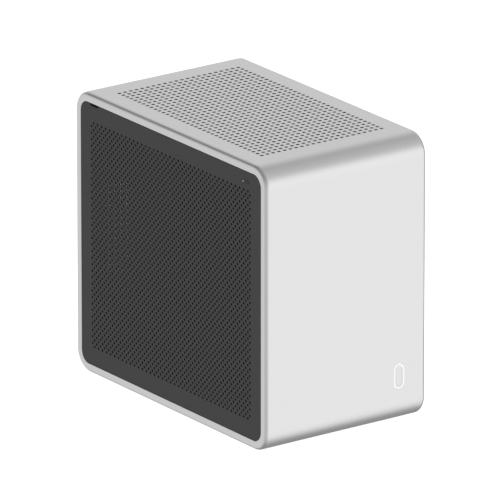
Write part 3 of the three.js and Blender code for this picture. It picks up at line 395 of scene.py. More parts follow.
def circuit_board(tree, shader):
    """Near-black green solder mask over copper: the tracks show as faintly lighter, slightly raised lines. They run
    where a brick pattern has its joints."""
    where = add_node(tree, "ShaderNodeTexCoord").outputs["Object"]
    flat = add_node(tree, "ShaderNodeMapping", {"vector_type": "POINT"}, {"Vector": where})
    flat.inputs["Rotation"].default_value = (0.0, math.radians(90), 0.0)
    flat.inputs["Scale"].default_value = (110.0, 110.0, 110.0)
    tracks = {"Scale": 1.0, "Mortar Size": 0.045, "Brick Width": 0.9, "Row Height": 0.22}
    brick = add_node(tree, "ShaderNodeTexBrick", tracks, {"Vector": flat.outputs["Vector"]})
    mix = add_node(tree, "ShaderNodeMix", {"data_type": "RGBA"}, {"Factor": brick.outputs["Fac"]})
    colours = [socket for socket in mix.inputs if socket.type == "RGBA"]
    colours[0].default_value, colours[1].default_value = linear(BOARD_GREEN), linear(TRACK_GREEN)
    tree.links.new(next(out for out in mix.outputs if out.type == "RGBA"), shader.inputs["Base Color"])
    bump = add_node(tree, "ShaderNodeBump", {"Strength": 1.0, "Distance": 0.03 * MM},
                    {"Height": brick.outputs["Fac"]})
    tree.links.new(bump.outputs["Normal"], shader.inputs["Normal"])


# ---------------------------------------------------------------- sleeve

def flats():
    """The sleeve's four flat walls: how (u, v, depth) lies in space, and half their length along v."""
    return {
        "rear": lambda u, v, d: np.stack([u, HALF_D - d + 0 * u, v + MID_Z + 0 * u], axis=-1),
        "top": lambda u, v, d: np.stack([u, v, TOP_Z - d + 0 * u], axis=-1),
        "front": lambda u, v, d: np.stack([u, d - HALF_D + 0 * u, v + MID_Z + 0 * u], axis=-1),
        "bottom": lambda u, v, d: np.stack([u, v, BASE_Z + d + 0 * u], axis=-1),
    }


class TOWER_OT_sleeve(bpy.types.Operator):
    """Make the aluminium sleeve with its vents, button hole and rear window"""
    bl_idname = "tower.make_sleeve"
    bl_label = "Sleeve"

    def execute(self, context):
        s = context.scene.tower_sleeve
        path, normal = rounded_loop(HALF_D, HALF_H, s.corner_radius, arc=14, support=SUPPORT)
        t = np.linspace(0, np.pi / 2, 7)
        rim_edge = 0.25
        fillet_x = s.edge_fillet * (1 - np.cos(t))
        fillet_inset = s.edge_fillet * (1 - np.sin(t))
        side = np.vstack([
            [s.rim_thickness, s.rim_width], [rim_edge, s.rim_width], [0, s.rim_width - rim_edge],
            [0, s.rim_width - rim_edge - SUPPORT], [0, s.edge_fillet + SUPPORT],
            np.stack([fillet_x, fillet_inset], axis=1), [s.edge_fillet + SUPPORT, 0]])
        near = side * [1, 1] - [HALF_W, 0]
        far = side[::-1] * [-1, 1] + [HALF_W, 0]
        inside = HALF_W - s.rim_thickness
        profile = np.vstack([near, far, [inside, s.wall], [-inside, s.wall]])
        points = np.empty((len(path), len(profile), 3))
        points[:, :, 0] = profile[:, 0]
        points[:, :, 1:] = path[:, None, :] - profile[None, :, 1, None] * normal[:, None, :]
        points[:, :, 2] += MID_Z
        faces = grid_faces(len(path), len(profile), close_rows=True, close_columns=True)
        keep = np.ones(faces.shape[:2], bool)
        per_corner = len(path) // 4
        straights = np.arange(per_corner - 1, len(path), per_corner)
        outer_middle, inner_middle = len(near) - 1, len(profile) - 2
        keep[np.ix_(straights, [outer_middle, inner_middle])] = False
        parts = [(points, [faces[keep]])]

        outer_u, inner_u = HALF_W - s.edge_fillet - SUPPORT, inside
        radius = s.corner_radius + SUPPORT
        lengths = {"rear": HALF_H, "top": HALF_D, "front": HALF_H, "bottom": HALF_D}
        for name, place in flats().items():
            half_v = lengths[name] - radius
            corner = np.array([[-1, -1], [1, -1], [1, 1], [-1, 1]])
            outer, inner = corner * [outer_u, half_v], corner * [inner_u, half_v]
            if name in ("top", "bottom"):
                hole = lattice_edge(s.columns * s.pitch / 2, s.rows * s.pitch / 2, s.pitch)
                u = (np.arange(s.columns) - (s.columns - 1) / 2) * s.pitch
                v = (np.arange(s.rows) - (s.rows - 1) / 2) * s.pitch
                centres = np.stack(np.meshgrid(u, v), axis=-1).reshape(-1, 2)
                parts.append(perforated_part(
                    place, centres, s.pitch / math.sqrt(2), 0.0, s.hole / 2, s.wall, 0.15))
            elif name == "front":
                hole = button_loop(-0.3)
                parts.append(wall_part(place, hole, 0, s.wall))
            else:
                hole = window_loop(s)
                parts.append(wall_part(place, hole, 0, s.wall))
            parts.append(plane_part(place, 0, outer, hole))
            parts.append(plane_part(place, s.wall, inner, hole))
        make_piece("sleeve", parts, "aluminium", ["outer_shell"])
        return {"FINISHED"}


def window_loop(s):
    """The rear window, a rectangle with small round corners, in the rear wall's own u and v."""
    margin_u, margin_v, corner = 12.2, s.corner_radius + 1, 1.2
    return rounded_loop(HALF_W - margin_u, HALF_H - margin_v, corner, arc=4)[0]


def button_loop(inset):
    """The power button's stadium outline, drawn in by an inset, in the front wall's own u and v."""
    low, high = node_box("button_light_ring")
    middle = (low + high) / 2
    half_u, half_v = (high - low)[[0, 2]] / 2 - inset
    loop = rounded_loop(half_u, half_v, half_u - 1e-3, arc=12)[0]
    return loop + [middle[0], middle[2] - MID_Z]


# ---------------------------------------------------------------- side panels

STUD_INSET, STUD_SHAFT, STUD_BALL, STUD_LENGTH = 14.2, 1.5, 2.2, 9.0     # radii of the shaft and of the ball
STUD_NECK = math.radians(137)                    # where the ball meets the shaft, as an angle from the tip
BADGE_LOW, BADGE_HIGH, BADGE_PIN = (-116.0, 239.7), (-105.4, 243.1), (-107.6, 241.4)    # Y and Z
BADGE_RADIUS = 1.69
NOTCH_INSET, NOTCH_HALF, NOTCH_DEPTH, NOTCH_SOFT = 19.7, 6.1, 1.9, 0.35     # NOTCH_SOFT: how gradual its ends are


def panel_outline(s, half_y, half_z):
    """The panel's edge and its outward normals: a rounded rectangle whose top edge dips into a finger notch.
    The notch is a smooth step down and up again, NOTCH_DEPTH / 2 * (1 - tanh) at each end."""
    notch_middle = node_box("left_side_panel")[1][1] - NOTCH_INSET
    points, normals = rounded_loop(half_y, half_z, s.corner_radius, arc=10, support=SUPPORT)
    step = NOTCH_SOFT * np.linspace(3, -3, 9)
    dip_y = notch_middle + np.concatenate([NOTCH_HALF + step, step - NOTCH_HALF])
    offset = np.abs(dip_y - notch_middle) - NOTCH_HALF
    dip_z = half_z - NOTCH_DEPTH * 0.5 * (1 - np.tanh(offset / NOTCH_SOFT))
    slope = np.gradient(dip_z, dip_y)
    dip_normal = np.stack([-slope, np.ones_like(slope)], axis=1)
    dip_normal /= np.linalg.norm(dip_normal, axis=1, keepdims=True)
    first = len(points) // 4
    points = np.vstack([points[:first], np.stack([dip_y, dip_z], axis=1), points[first:]])
    normals = np.vstack([normals[:first], dip_normal, normals[first:]])
    return points, normals


class TOWER_OT_side_panels(bpy.types.Operator):
    """Make the two perforated side panels with their ball studs"""
    bl_idname = "tower.make_side_panels"
    bl_label = "Side panels"

    def execute(self, context):
        s = context.scene.tower_panel
        for name, side in (("left", -1), ("right", 1)):
            low, high = node_box(f"{name}_side_panel")
            face = high[0] if side > 0 else low[0]
            half_y, half_z = (high - low)[1:] / 2
            place = lambda u, v, d: np.stack([side * (abs(face) - d) + 0 * u, u, v + MID_Z], axis=-1)
            outline, normal = panel_outline(s, half_y, half_z)
            t = np.linspace(0, np.pi / 2, 4)
            rings = np.vstack([
                [s.edge + SUPPORT, 0], np.stack([s.edge * (1 - np.sin(t)), s.edge * (1 - np.cos(t))], axis=1),
                [0, s.thickness - 0.2], [0.2, s.thickness]])
            loops = outline[None] - rings[:, 0, None, None] * normal[None]
            depth = np.broadcast_to(rings[:, 1, None], loops.shape[:2])
            edge = (place(loops[..., 0], loops[..., 1], depth), [
                grid_faces(len(rings), len(outline), close_columns=True).reshape(-1, 4)])
            step = 2 * s.half_pitch
            field = lattice_edge((s.columns + 1) * s.half_pitch, (s.rows + 1) * s.half_pitch, step)
            parts = [
                edge, plane_part(place, 0, loops[0], field), plane_part(place, s.thickness, loops[-1], field),
                *staggered_field(place, s)]
            make_piece(f"{name}_panel", parts, "powder_coat", [f"{name}_side_panel"], body=f"{name}_side_panel")
            t = np.linspace(STUD_NECK, 0, 9)
            ball = np.stack([STUD_BALL * np.sin(t), STUD_LENGTH - STUD_BALL * (1 - np.cos(t))], axis=1)
            stud = np.vstack([[0, -0.3], [STUD_SHAFT, -0.3], ball])
            y, z = HALF_D - STUD_INSET, HALF_H - STUD_INSET
            back = side * (abs(face) - s.thickness)
            studs = [lathe_part(facing("-x" if side < 0 else "x", (back, u, MID_Z + v)), stud, 20)
                     for u in (-y, y) for v in (-z, z)]
            make_piece(f"{name}_panel_studs", studs, "zinc", body=f"{name}_side_panel")
        face = node_box("left_side_panel")[0][0]
        badge = corner_loop(BADGE_LOW, BADGE_HIGH, BADGE_RADIUS, 8)
        plate = slab_parts(facing("-x", (face - 0.15, 0, 0)), badge, 0.5, (), 0.15)
        make_piece("panel_badge", plate, "ink", body="left_side_panel")
        pin = [(0, 0), (0.7, 0), (0.9, 0.15), (0.9, 0.4), (0, 0.4)]
        make_piece("badge_pin", [lathe_part(facing("-x", (face - 0.25, *BADGE_PIN)), pin, 20)], "zinc",
                   body="left_side_panel")
        return {"FINISHED"}


def staggered_field(place, s):
    """Holes at every other crossing of a grid of half pitches. Each has a diamond cell, and the notches that the
    outermost diamonds leave along the field's straight edges are filled with triangles on both faces."""
    u, v = np.meshgrid(np.arange(-s.columns, s.columns + 1), np.arange(-s.rows, s.rows + 1))
    even = (u + v) % 2 == 0
    centres = np.stack([u[even], v[even]], axis=1) * s.half_pitch
    parts = [perforated_part(place, centres, s.half_pitch, np.pi / 4, s.hole / 2, s.thickness, 0.0)]
    end_u, end_v = s.columns + 1, s.rows + 1
    across = np.arange(-end_u + 2, end_u - 2, 2)
    upward = np.arange(-end_v + 2, end_v - 2, 2)
    fills = []
    for sign in (-1, 1):
        fills += [np.stack([[a, sign * end_v], [a + 1, sign * (end_v - 1)], [a + 2, sign * end_v]]) for a in across]
        fills += [np.stack([[sign * end_u, b], [sign * (end_u - 1), b + 1], [sign * end_u, b + 2]]) for b in upward]
        for other in (-1, 1):
            corner = [sign * end_u, other * end_v]
            along, up = [sign * (end_u - 2), other * end_v], [sign * end_u, other * (end_v - 2)]
            fold = [sign * (end_u - 1), other * (end_v - 1)]
            fills += [np.stack([corner, along, fold]), np.stack([corner, fold, up])]
    flat = np.stack(fills).reshape(-1, 2) * s.half_pitch
    triangles = np.arange(len(flat)).reshape(-1, 3)
    for depth in (0.0, s.thickness):
        parts.append((place(flat[:, 0], flat[:, 1], np.full(len(flat), depth)), [triangles]))
    return parts


# ---------------------------------------------------------------- power button

RING_WALL, RING_SOFT, CAP_GAP, CAP_SOFT = 1.5, 0.2, 0.25, 0.35


class TOWER_OT_button(bpy.types.Operator):
    """Make the power button's cap and the lit ring round it"""
    bl_idname = "tower.make_button"
    bl_label = "Power button"

    def execute(self, context):
        place = flats()["front"]
        low, high = node_box("button_light_ring")
        depth = high[1] - low[1]
        outer, inner = button_loop(0.0), button_loop(RING_WALL)
        rings = [(button_loop(RING_SOFT), 0), (outer, RING_SOFT), (outer, depth), (inner, depth), (inner, RING_SOFT),
                 (button_loop(RING_WALL - RING_SOFT), 0)]
        make_piece("light_ring", [loops_part(place, rings, close=True)], "light_guide", ["button_light_ring"])

        cap = RING_WALL + CAP_GAP
        low, high = node_box("power_button")
        near, far = low[1] + HALF_D, high[1] + HALF_D
        rings = [(button_loop(cap + CAP_SOFT), near), (button_loop(cap + 0.1), near + 0.1),
                 (button_loop(cap), near + CAP_SOFT), (button_loop(cap), far)]
        parts = [loops_part(place, rings), plane_part(place, near, rings[0][0]), plane_part(place, far, rings[-1][0])]
        make_piece("button_cap", parts, "aluminium", ["power_button"], body="power_button")
        return {"FINISHED"}


def loops_part(place, rings, close=False):
    """A skin through loops of equal length, each at its own depth."""
    points = np.stack([place(loop[:, 0], loop[:, 1], np.full(len(loop), float(depth))) for loop, depth in rings])
    return points, [grid_faces(len(rings), len(rings[0][0]), close, True).reshape(-1, 4)]


# ---------------------------------------------------------------- shared shapes for the small pieces

def facing(axis, at=(0, 0, 0)):
    """A place function for pieces turned towards an axis: u and v lie across it, and depth runs back along it.
    "y" faces the rear with u, v as X, Z; "z" faces up and "-z" down with u, v as X, Y; "x" faces right and
    "-x" left with u, v as Y, Z. The origin of u, v and depth is the point at."""
    x, y, z = at
    return {
        "y": lambda u, v, d: np.stack([x + u, y - d + 0 * u, z + v + 0 * u], axis=-1),
        "-y": lambda u, v, d: np.stack([x + u, y + d + 0 * u, z + v + 0 * u], axis=-1),
        "z": lambda u, v, d: np.stack([x + u, y + v + 0 * u, z - d + 0 * u], axis=-1),
        "-z": lambda u, v, d: np.stack([x + u, y + v + 0 * u, z + d + 0 * u], axis=-1),
        "x": lambda u, v, d: np.stack([x - d + 0 * u, y + u, z + v + 0 * u], axis=-1),
        "-x": lambda u, v, d: np.stack([x + d + 0 * u, y + u, z + v + 0 * u], axis=-1),
    }[axis]


def round_loop(radius, sides=32, u=0.0, v=0.0):
    """A circle about (u, v): radius * (cos t, sin t)."""
    t = np.arange(sides) * 2 * np.pi / sides
    return np.stack([u + radius * np.cos(t), v + radius * np.sin(t)], axis=1)


def corner_loop(low, high, radius=0.4, arc=4):
    """A rectangle between two corners in u and v, with round corners."""
    (u0, v0), (u1, v1) = low, high
    return rounded_loop((u1 - u0) / 2, (v1 - v0) / 2, radius, arc)[0] + [(u0 + u1) / 2, (v0 + v1) / 2]


def lathe_part(place, profile, sides=32, close=False):
    """A profile of (radius, depth) points turned round an axis: (r cos t, r sin t, depth). It starts and ends on
    the axis, or closes on itself."""
    r, d = np.asarray(profile, float).T
    t = np.arange(sides) * 2 * np.pi / sides
    u, v = r[:, None] * np.cos(t), r[:, None] * np.sin(t)
    return place(u, v, np.broadcast_to(d[:, None], u.shape)), [
        grid_faces(len(r), sides, close, True).reshape(-1, 4)]


def boxes_part(low, high):
    """Many boxes at once, from arrays of their lowest and highest corners."""
    low, high = np.broadcast_arrays(np.asarray(low, float), np.asarray(high, float))
    unit, (faces,) = box_part([0, 0, 0], [1, 1, 1])
    points = low[:, None] + unit[None] * (high - low)[:, None]
    return points.reshape(-1, 3), [(np.array(faces)[None] + 8 * np.arange(len(low))[:, None, None]).reshape(-1, 4)]


def slab_parts(place, outer, thickness, holes=(), soft=0.3):
    """A plate with holes that go right through, its front edge softened by a small chamfer."""
    middle = (outer.min(axis=0) + outer.max(axis=0)) / 2
    size = (outer.max(axis=0) - outer.min(axis=0)) / 2
    face = middle + (outer - middle) * (1 - soft / size)
    parts = [plane_part(place, 0, face, *holes), plane_part(place, thickness, outer, *holes),
             loops_part(place, [(face, 0), (outer, soft), (outer, thickness)])]
    return parts + [wall_part(place, hole, 0, thickness) for hole in holes]


def socket_parts(place, outer, length, holes, depth, soft=0.3):
    """A block whose face has sockets sunk to a depth; the block itself is as long as length."""
    middle = (outer.min(axis=0) + outer.max(axis=0)) / 2
    size = (outer.max(axis=0) - outer.min(axis=0)) / 2
    face = middle + (outer - middle) * (1 - soft / size)
    parts = [plane_part(place, 0, face, *holes), plane_part(place, length, outer),
             loops_part(place, [(face, 0), (outer, soft), (outer, length)])]
    for hole in holes:
        parts += [wall_part(place, hole, 0, depth), plane_part(place, depth, hole)]
    return parts


def tube_part(route, radius, sides=14, steps=90, strands=0, depth=0.0):
    """A round bar along a centripetal Catmull-Rom curve through the points. Its section is
    radius * (1 - depth * |sin(strands t / 2)|), so that strands > 0 gives a bundle of that many wires."""
    p = np.asarray(route, float)
    p = np.vstack([2 * p[0] - p[1], p, 2 * p[-1] - p[-2]])
    knots = np.concatenate([[0], np.cumsum(np.sqrt(np.linalg.norm(np.diff(p, axis=0), axis=1)))])
    at = np.linspace(knots[1], knots[-2], steps)
    k = np.clip(np.searchsorted(knots, at, side="right") - 1, 1, len(p) - 3)
    t = [knots[k + i] for i in (-1, 0, 1, 2)]
    q = [p[k + i] for i in (-1, 0, 1, 2)]

    def between(a, b, ta, tb):
        return a + (b - a) * ((at - ta) / (tb - ta))[:, None]

    a1, a2, a3 = (between(q[i], q[i + 1], t[i], t[i + 1]) for i in range(3))
    b1, b2 = between(a1, a2, t[0], t[2]), between(a2, a3, t[1], t[3])
    line = between(b1, b2, t[1], t[2])
    along = np.gradient(line, axis=0)
    along /= np.linalg.norm(along, axis=1, keepdims=True)
    side = np.empty_like(line)
    start = np.cross(along[0], [0.3, 0.5, 0.8])
    for i in range(steps):
        start = start - np.dot(start, along[i]) * along[i]
        start /= np.linalg.norm(start)
        side[i] = start
    up = np.cross(along, side)
    angle = np.arange(sides) * 2 * np.pi / sides
    r = radius * (1 - depth * np.abs(np.sin(strands * angle / 2)))
    ring = line[:, None] + (r * np.cos(angle))[None, :, None] * side[:, None] + (
        r * np.sin(angle))[None, :, None] * up[:, None]
    ends = [np.arange(sides)[None, ::-1], np.arange(sides)[None] + sides * (steps - 1)]
    return ring, [grid_faces(steps, sides, False, True).reshape(-1, 4), *ends]


def middle_of(name):
    """The middle of a CAD node's box, in millimetres."""
    low, high = node_box(name)
    return (low + high) / 2


# ---------------------------------------------------------------- feet

class TOWER_OT_feet(bpy.types.Operator):
    """Make the four rubber feet"""
    bl_idname = "tower.make_feet"
    bl_label = "Feet"

    def execute(self, context):
        for name in ("foot_front_left", "foot_rear_left", "foot_front_right", "foot_rear_right"):
            low, high = node_box(name)
            x, y, _ = (low + high) / 2
            r, h = (high[0] - low[0]) / 2, high[2]
            profile = [(0, 0), (r - 2.6, 0), (r - 2.2, -0.3), (r - 1.6, 0), (r - 0.9, 0), (r - 0.3, -0.3), (r, -0.9),
                       (r, -h), (0, -h)]
            make_piece(name + "_pad", [lathe_part(facing("z", (x, y, 0)), profile, 40)], "rubber", [name])
        return {"FINISHED"}


# ---------------------------------------------------------------- rear: panel, ports, bracket, inlet

def port_sockets():
    """Each port block's sockets as (node, list of outlines in X and Z)."""
    def about(x, z, half_x, half_z, radius=0.4):
        return corner_loop((x - half_x, z - half_z), (x + half_x, z + half_z), radius)

    high = node_box("usb_ports")[1]
    board = high[0]
    low_z = {n: node_box(n)[0][2] for n in ("usb_ports", "display_ports", "network_jack", "audio_jacks")}
    usb = [about(board - up, low_z["usb_ports"] + along, 2.7, 6.6)
           for along in (8.5, 23.5, 38.5) for up in (4.8, 12.8)]
    x, z = board - 5.4, low_z["display_ports"]
    wide = np.array([[-2.6, -7.3], [0.9, -7.3], [2.6, -5.6], [2.6, 5.6], [0.9, 7.3], [-2.6, 7.3]]) + [x, z + 9]
    keyed = np.array([[-2.6, -8.2], [2.6, -8.2], [2.6, 6.4], [0.8, 8.2], [-2.6, 8.2]]) + [x, z + 26.5]
    network = about(board - 6.9, low_z["network_jack"] + 8.2, 4.3, 6.0)
    audio = [round_loop(1.75, 20, board - up, low_z["audio_jacks"] + 6.5) for up in (5.5, 16.5, 27.5)]
    return {"usb_ports": usb, "display_ports": [wide, keyed], "network_jack": [network], "audio_jacks": audio}


class TOWER_OT_rear(bpy.types.Operator):
    """Make the rear panel, the input and output ports, the card's bracket and the mains inlet"""
    bl_idname = "tower.make_rear"
    bl_label = "Rear"

    def execute(self, context):
        self.panel()
        self.ports()
        self.bracket()
        self.inlet()
        return {"FINISHED"}

    def panel(self):
        low, high = node_box("rear_panel")
        sheet, gap = 1.2, 0.3
        place = facing("y", (0, high[1], 0))
        shield_low, shield_high = node_box("io_shield")
        bracket_low, bracket_high = node_box("gpu_bracket")
        inlet_low, inlet_high = node_box("ac_inlet")
        holes = [corner_loop(shield_low[[0, 2]] - gap, shield_high[[0, 2]] + gap, 0.8),
                 corner_loop(inlet_low[[0, 2]] + 4.7, inlet_high[[0, 2]] - 4.7, 0.8)]
        card_z = bracket_high[2] - 3
        for middle in (card_z - 6.5, card_z - 6.5 - 20.32):
            holes.append(corner_loop(
                (bracket_low[0] + 2.7, middle - 7), (bracket_high[0] - 2, middle + 7), 0.8))
        pitch, columns, rows, hole, centre = 6.0, 11, 14, 3.8, np.array([-27.0, 124.0])
        vent = lattice_edge(columns * pitch / 2, rows * pitch / 2, pitch) + centre
        u = (np.arange(columns) - (columns - 1) / 2) * pitch
        v = (np.arange(rows) - (rows - 1) / 2) * pitch
        centres = np.stack(np.meshgrid(u, v), axis=-1).reshape(-1, 2) + centre
        outer = corner_loop(low[[0, 2]], high[[0, 2]], 2.0)
        parts = [plane_part(place, d, outer, *holes, vent) for d in (0, sheet)]
        parts += [wall_part(place, loop, 0, sheet) for loop in (outer, *holes)]
        parts.append(perforated_part(place, centres, pitch / math.sqrt(2), 0.0, hole / 2, sheet, 0.1))
        parts.append(box_part((bracket_low[0] - 1.5, low[1], bracket_low[2]),
                              (bracket_low[0] - 0.3, high[1] - 0.6, bracket_high[2])))
        make_piece("rear_plate", parts, "steel", ["rear_panel"])

        heads = [screw_parts(facing("y", (x, high[1] + 1.3, z)), 2.6, 1.3)
                 for x in (-67.5, 67.5) for z in (28.0, 235.4)]
        heads += [screw_parts(facing("y", (x, high[1] + 2.8, 205.0)), 2.0, 1.3)
                  for x in (inlet_low[0] + 2.7, inlet_high[0] - 2.7)]
        make_piece("rear_screws", sum(heads, []), "zinc")

        place = facing("y", (0, shield_high[1], 0))
        outer = corner_loop(shield_low[[0, 2]], shield_high[[0, 2]], 1.0)
        cuts = []
        for name in ("display_ports", "usb_ports", "network_jack", "audio_jacks"):
            lo, hi = node_box(name)
            cuts.append(corner_loop((lo[0] - gap, lo[2] - gap), (shield_high[0] - 1, hi[2] + gap), 0.5))
        parts = slab_parts(place, outer, 0.9, cuts, 0.15)
        inner = corner_loop(shield_low[[0, 2]] + 1.6, shield_high[[0, 2]] - 0.7, 0.9)
        middle = (inner.min(axis=0) + inner.max(axis=0)) / 2
        ring = [middle + (inner - middle) * (1 - k / 22.0) for k in (0.0, 0.25, 0.55, 0.8)]
        parts.append(loops_part(place, [(ring[0], 0.1), (ring[1], -0.5), (ring[2], -0.5), (ring[3], 0.1)], True))
        make_piece("io_plate", parts, "bare", ["io_shield"], slot="zinc_plate")

    def ports(self):
        look = {"usb_ports": "zinc", "display_ports": "zinc", "network_jack": "zinc", "audio_jacks": "plastic"}
        inner, contacts = [], []
        for name, holes in port_sockets().items():
            low, high = node_box(name)
            place = facing("y", (0, high[1], 0))
            outer = corner_loop(low[[0, 2]], high[[0, 2]], 0.6)
            shells = socket_parts(place, outer, high[1] - low[1], holes, 11.4, 0.25)
            make_piece(name + "_shells", shells, look[name], [name])
            if name in ("usb_ports", "display_ports"):
                for hole in holes:
                    (u0, v0), (u1, v1) = hole.min(axis=0), hole.max(axis=0)
                    shift = 1.0 if name == "usb_ports" else 0.0
                    u = (u0 + u1) / 2 + shift
                    inner.append(box_part((u - 0.9, high[1] - 11.6, v0 + 1.2), (u + 0.9, high[1] - 1.2, v1 - 1.2)))
                    z = np.linspace(v0 + 2.4, v1 - 2.4, 4 if name == "usb_ports" else 9)
                    low_corner = np.stack([0 * z + u - 1.0, 0 * z + high[1] - 9, z - 0.4], axis=1)
                    contacts.append(boxes_part(low_corner, low_corner + [0.3, 7, 0.8 if len(z) == 4 else 0.5]))
            if name == "network_jack":
                (u0, v0), (u1, v1) = holes[0].min(axis=0), holes[0].max(axis=0)
                z = np.linspace(v0 + 2.4, v1 - 2.4, 8)
                low_corner = np.stack([0 * z + u1 - 1.8, 0 * z + high[1] - 9, z - 0.25], axis=1)
                contacts.append(boxes_part(low_corner, low_corner + [0.4, 8, 0.5]))
        low, high = node_box("audio_jacks")
        bead = [(1.8, -0.25), (3.1, -0.25), (3.4, 0.1), (1.8, 0.1)]
        rings = [lathe_part(facing("y", (x, high[1], z)), bead, 28, True)
                 for x, z in [hole.mean(axis=0) for hole in port_sockets()["audio_jacks"]]]
        make_piece("jack_rings", rings, "grey")
        make_piece("port_tongues", inner, "teal", smooth=False)
        make_piece("port_contacts", contacts, "gold", smooth=False)

    def bracket(self):
        low, high = node_box("gpu_bracket")
        sheet = 1.2
        card_low, card_high = node_box("gpu_board")
        place = facing("y", (0, high[1], 0))
        z1 = card_low[2] - 0.3
        middles = card_low[0] + 27 + 22 * np.arange(4)
        sockets = [corner_loop((x - 8.1, z1 - 6.6), (x + 8.1, z1 - 1.4), 0.5) for x in middles]
        vents = [corner_loop((x - 1.5, low[2] + 4), (x + 1.5, low[2] + 19), 1.4)
                 for x in np.arange(low[0] + 14, high[0] - 12, 6.5)]
        outer = corner_loop(low[[0, 2]], high[[0, 2]], 1.0)
        parts = slab_parts(place, outer, sheet, sockets + vents, 0.15)
        parts.append(box_part((low[0], low[1], low[2]), (low[0] + sheet, high[1] - 0.3, high[2])))
        back = facing("y", (0, high[1] - 0.2, 0))
        for x, hole in zip(middles, sockets):
            block = corner_loop((x - 9.2, z1 - 8), (x + 9.2, z1), 0.6)
            parts += socket_parts(back, block, high[1] - 0.2 - card_high[1] - 0.6, [hole], 0.65, 0.1)
        make_piece("card_bracket", parts, "zinc", ["gpu_bracket"])
        tongues = [box_part((x - 6.2, high[1] - 1.0, z1 - 4.7), (x + 6.2, high[1] - 0.35, z1 - 3.4)) for x in middles]
        make_piece("card_tongues", tongues, "plastic", smooth=False)
        for name in ("thumb_screw_upper", "thumb_screw_lower"):
            lo, hi = node_box(name)
            middle = (lo + hi) / 2
            place = facing("-x", (lo[0], middle[1], middle[2]))
            t = np.arange(72) * 2 * np.pi / 72
            r = (hi[1] - lo[1]) / 2
            knurl = (r - 0.25 * (np.arange(72) % 3 == 0))[:, None] * np.stack([np.cos(t), np.sin(t)], axis=1)
            rings = [(knurl * 0.5, 0.9), (knurl * 0.58, 0.2), (knurl * 0.86, 0.0), (knurl, 0.6), (knurl, 4.4),
                     (knurl * 0.9, 5.0)]
            parts = [loops_part(place, rings), plane_part(place, 0.9, rings[0][0]),
                     plane_part(place, 5.0, rings[-1][0]),
                     lathe_part(place, [(0, 4.0), (1.8, 4.0), (1.8, hi[0] - lo[0] - 0.6), (1.2, hi[0] - lo[0]),
                                        (0, hi[0] - lo[0])], 20)]
            make_piece(name + "_knurled", parts, "plastic", [name])

    def inlet(self):
        low, high = node_box("ac_inlet")
        place = facing("y", (0, high[1], 0))
        x = (low[0] + high[0]) / 2
        pin_z = high[2] - 17.5
        shape = np.array([[-12, -8.5], [12, -8.5], [12, 3.5], [7.2, 8.5], [-7.2, 8.5], [-12, 3.5]]) * 0.995
        shape = shape + [x, pin_z]
        well = corner_loop((x - 6.2, low[2] + 7.0), (x + 6.2, low[2] + 26.0), 0.8)
        outer = corner_loop(low[[0, 2]], high[[0, 2]], 3.0, 8)
        lap = 5.0
        body = corner_loop(low[[0, 2]] + lap, high[[0, 2]] - lap, 1.0)
        face = outer + (np.array([x, (low[2] + high[2]) / 2]) - outer) * 0.015
        parts = [plane_part(place, 0, face, shape, well), loops_part(place, [(face, 0), (outer, 0.4), (outer, 1.5)]),
                 plane_part(place, 1.5, outer, body), wall_part(place, body, 1.5, 21.0),
                 plane_part(place, 21.0, body)]
        for hole, depth in ((shape, 16.0), (well, 11.5)):
            parts += [wall_part(place, hole, 0, depth), plane_part(place, depth, hole)]
        make_piece("inlet_body", parts, "plastic", ["ac_inlet"])
        pins = []
        for du, dz in ((-7, 1), (7, 1), (0, -3)):
            blade = corner_loop((x + du - 1.0, pin_z + dz - 2.0), (x + du + 1.0, pin_z + dz + 2.0), 0.3)
            tip = blade * 0.5 + np.array([x + du, pin_z + dz]) * 0.5
            pins += [loops_part(place, [(tip, 2.6), (blade, 3.6), (blade, 16.2)]), plane_part(place, 2.6, tip),
                     plane_part(place, 16.2, blade)]
        make_piece("inlet_pins", pins, "zinc")

        half, width, tilt = 8.25, 5.7, math.radians(8)
        v = np.linspace(-half, half, 17)
        face_u = 2.4 + 2.0 * (np.abs(v) / half) ** 1.3
        outline = np.concatenate([np.stack([v, face_u], axis=1), [[half, -3.0], [-half, -3.0]]])
        pivot = np.array([x, high[1] - 5.2, low[2] + 16.5])
        ends = []
        for side_x, inset in ((-width, 0.3), (-width + 0.3, 0.0), (width - 0.3, 0.0), (width, 0.3)):
            loop = outline * [1 - inset / half, 1] - [0, inset * 0.6]
            y = loop[:, 1] * math.cos(tilt) - loop[:, 0] * math.sin(tilt)
            z = loop[:, 1] * math.sin(tilt) + loop[:, 0] * math.cos(tilt)
            ends.append(np.stack([np.full_like(y, side_x), y, z], axis=1) + pivot)
        count = len(outline)
        caps = [np.arange(count)[None], np.arange(count)[None, ::-1] + 3 * count]
        rocker = (np.stack(ends), [grid_faces(4, count, False, True).reshape(-1, 4), *caps])
        make_piece("rocker_cap", [rocker], "plastic", ["power_rocker"], body="power_rocker")


def screw_parts(place, radius, height):
    """A plain domed screw head: (radius sin t, 0.75 height (1 - cos t)) turned round its axis."""
    t = np.linspace(0, np.pi / 2, 6)
    dome = np.stack([radius * np.sin(t), height * 0.75 * (1 - np.cos(t))], axis=1)
    profile = np.vstack([dome, [radius, height + 0.3], [0, height + 0.3]])
    return [lathe_part(place, profile, 24)]


# ---------------------------------------------------------------- fans

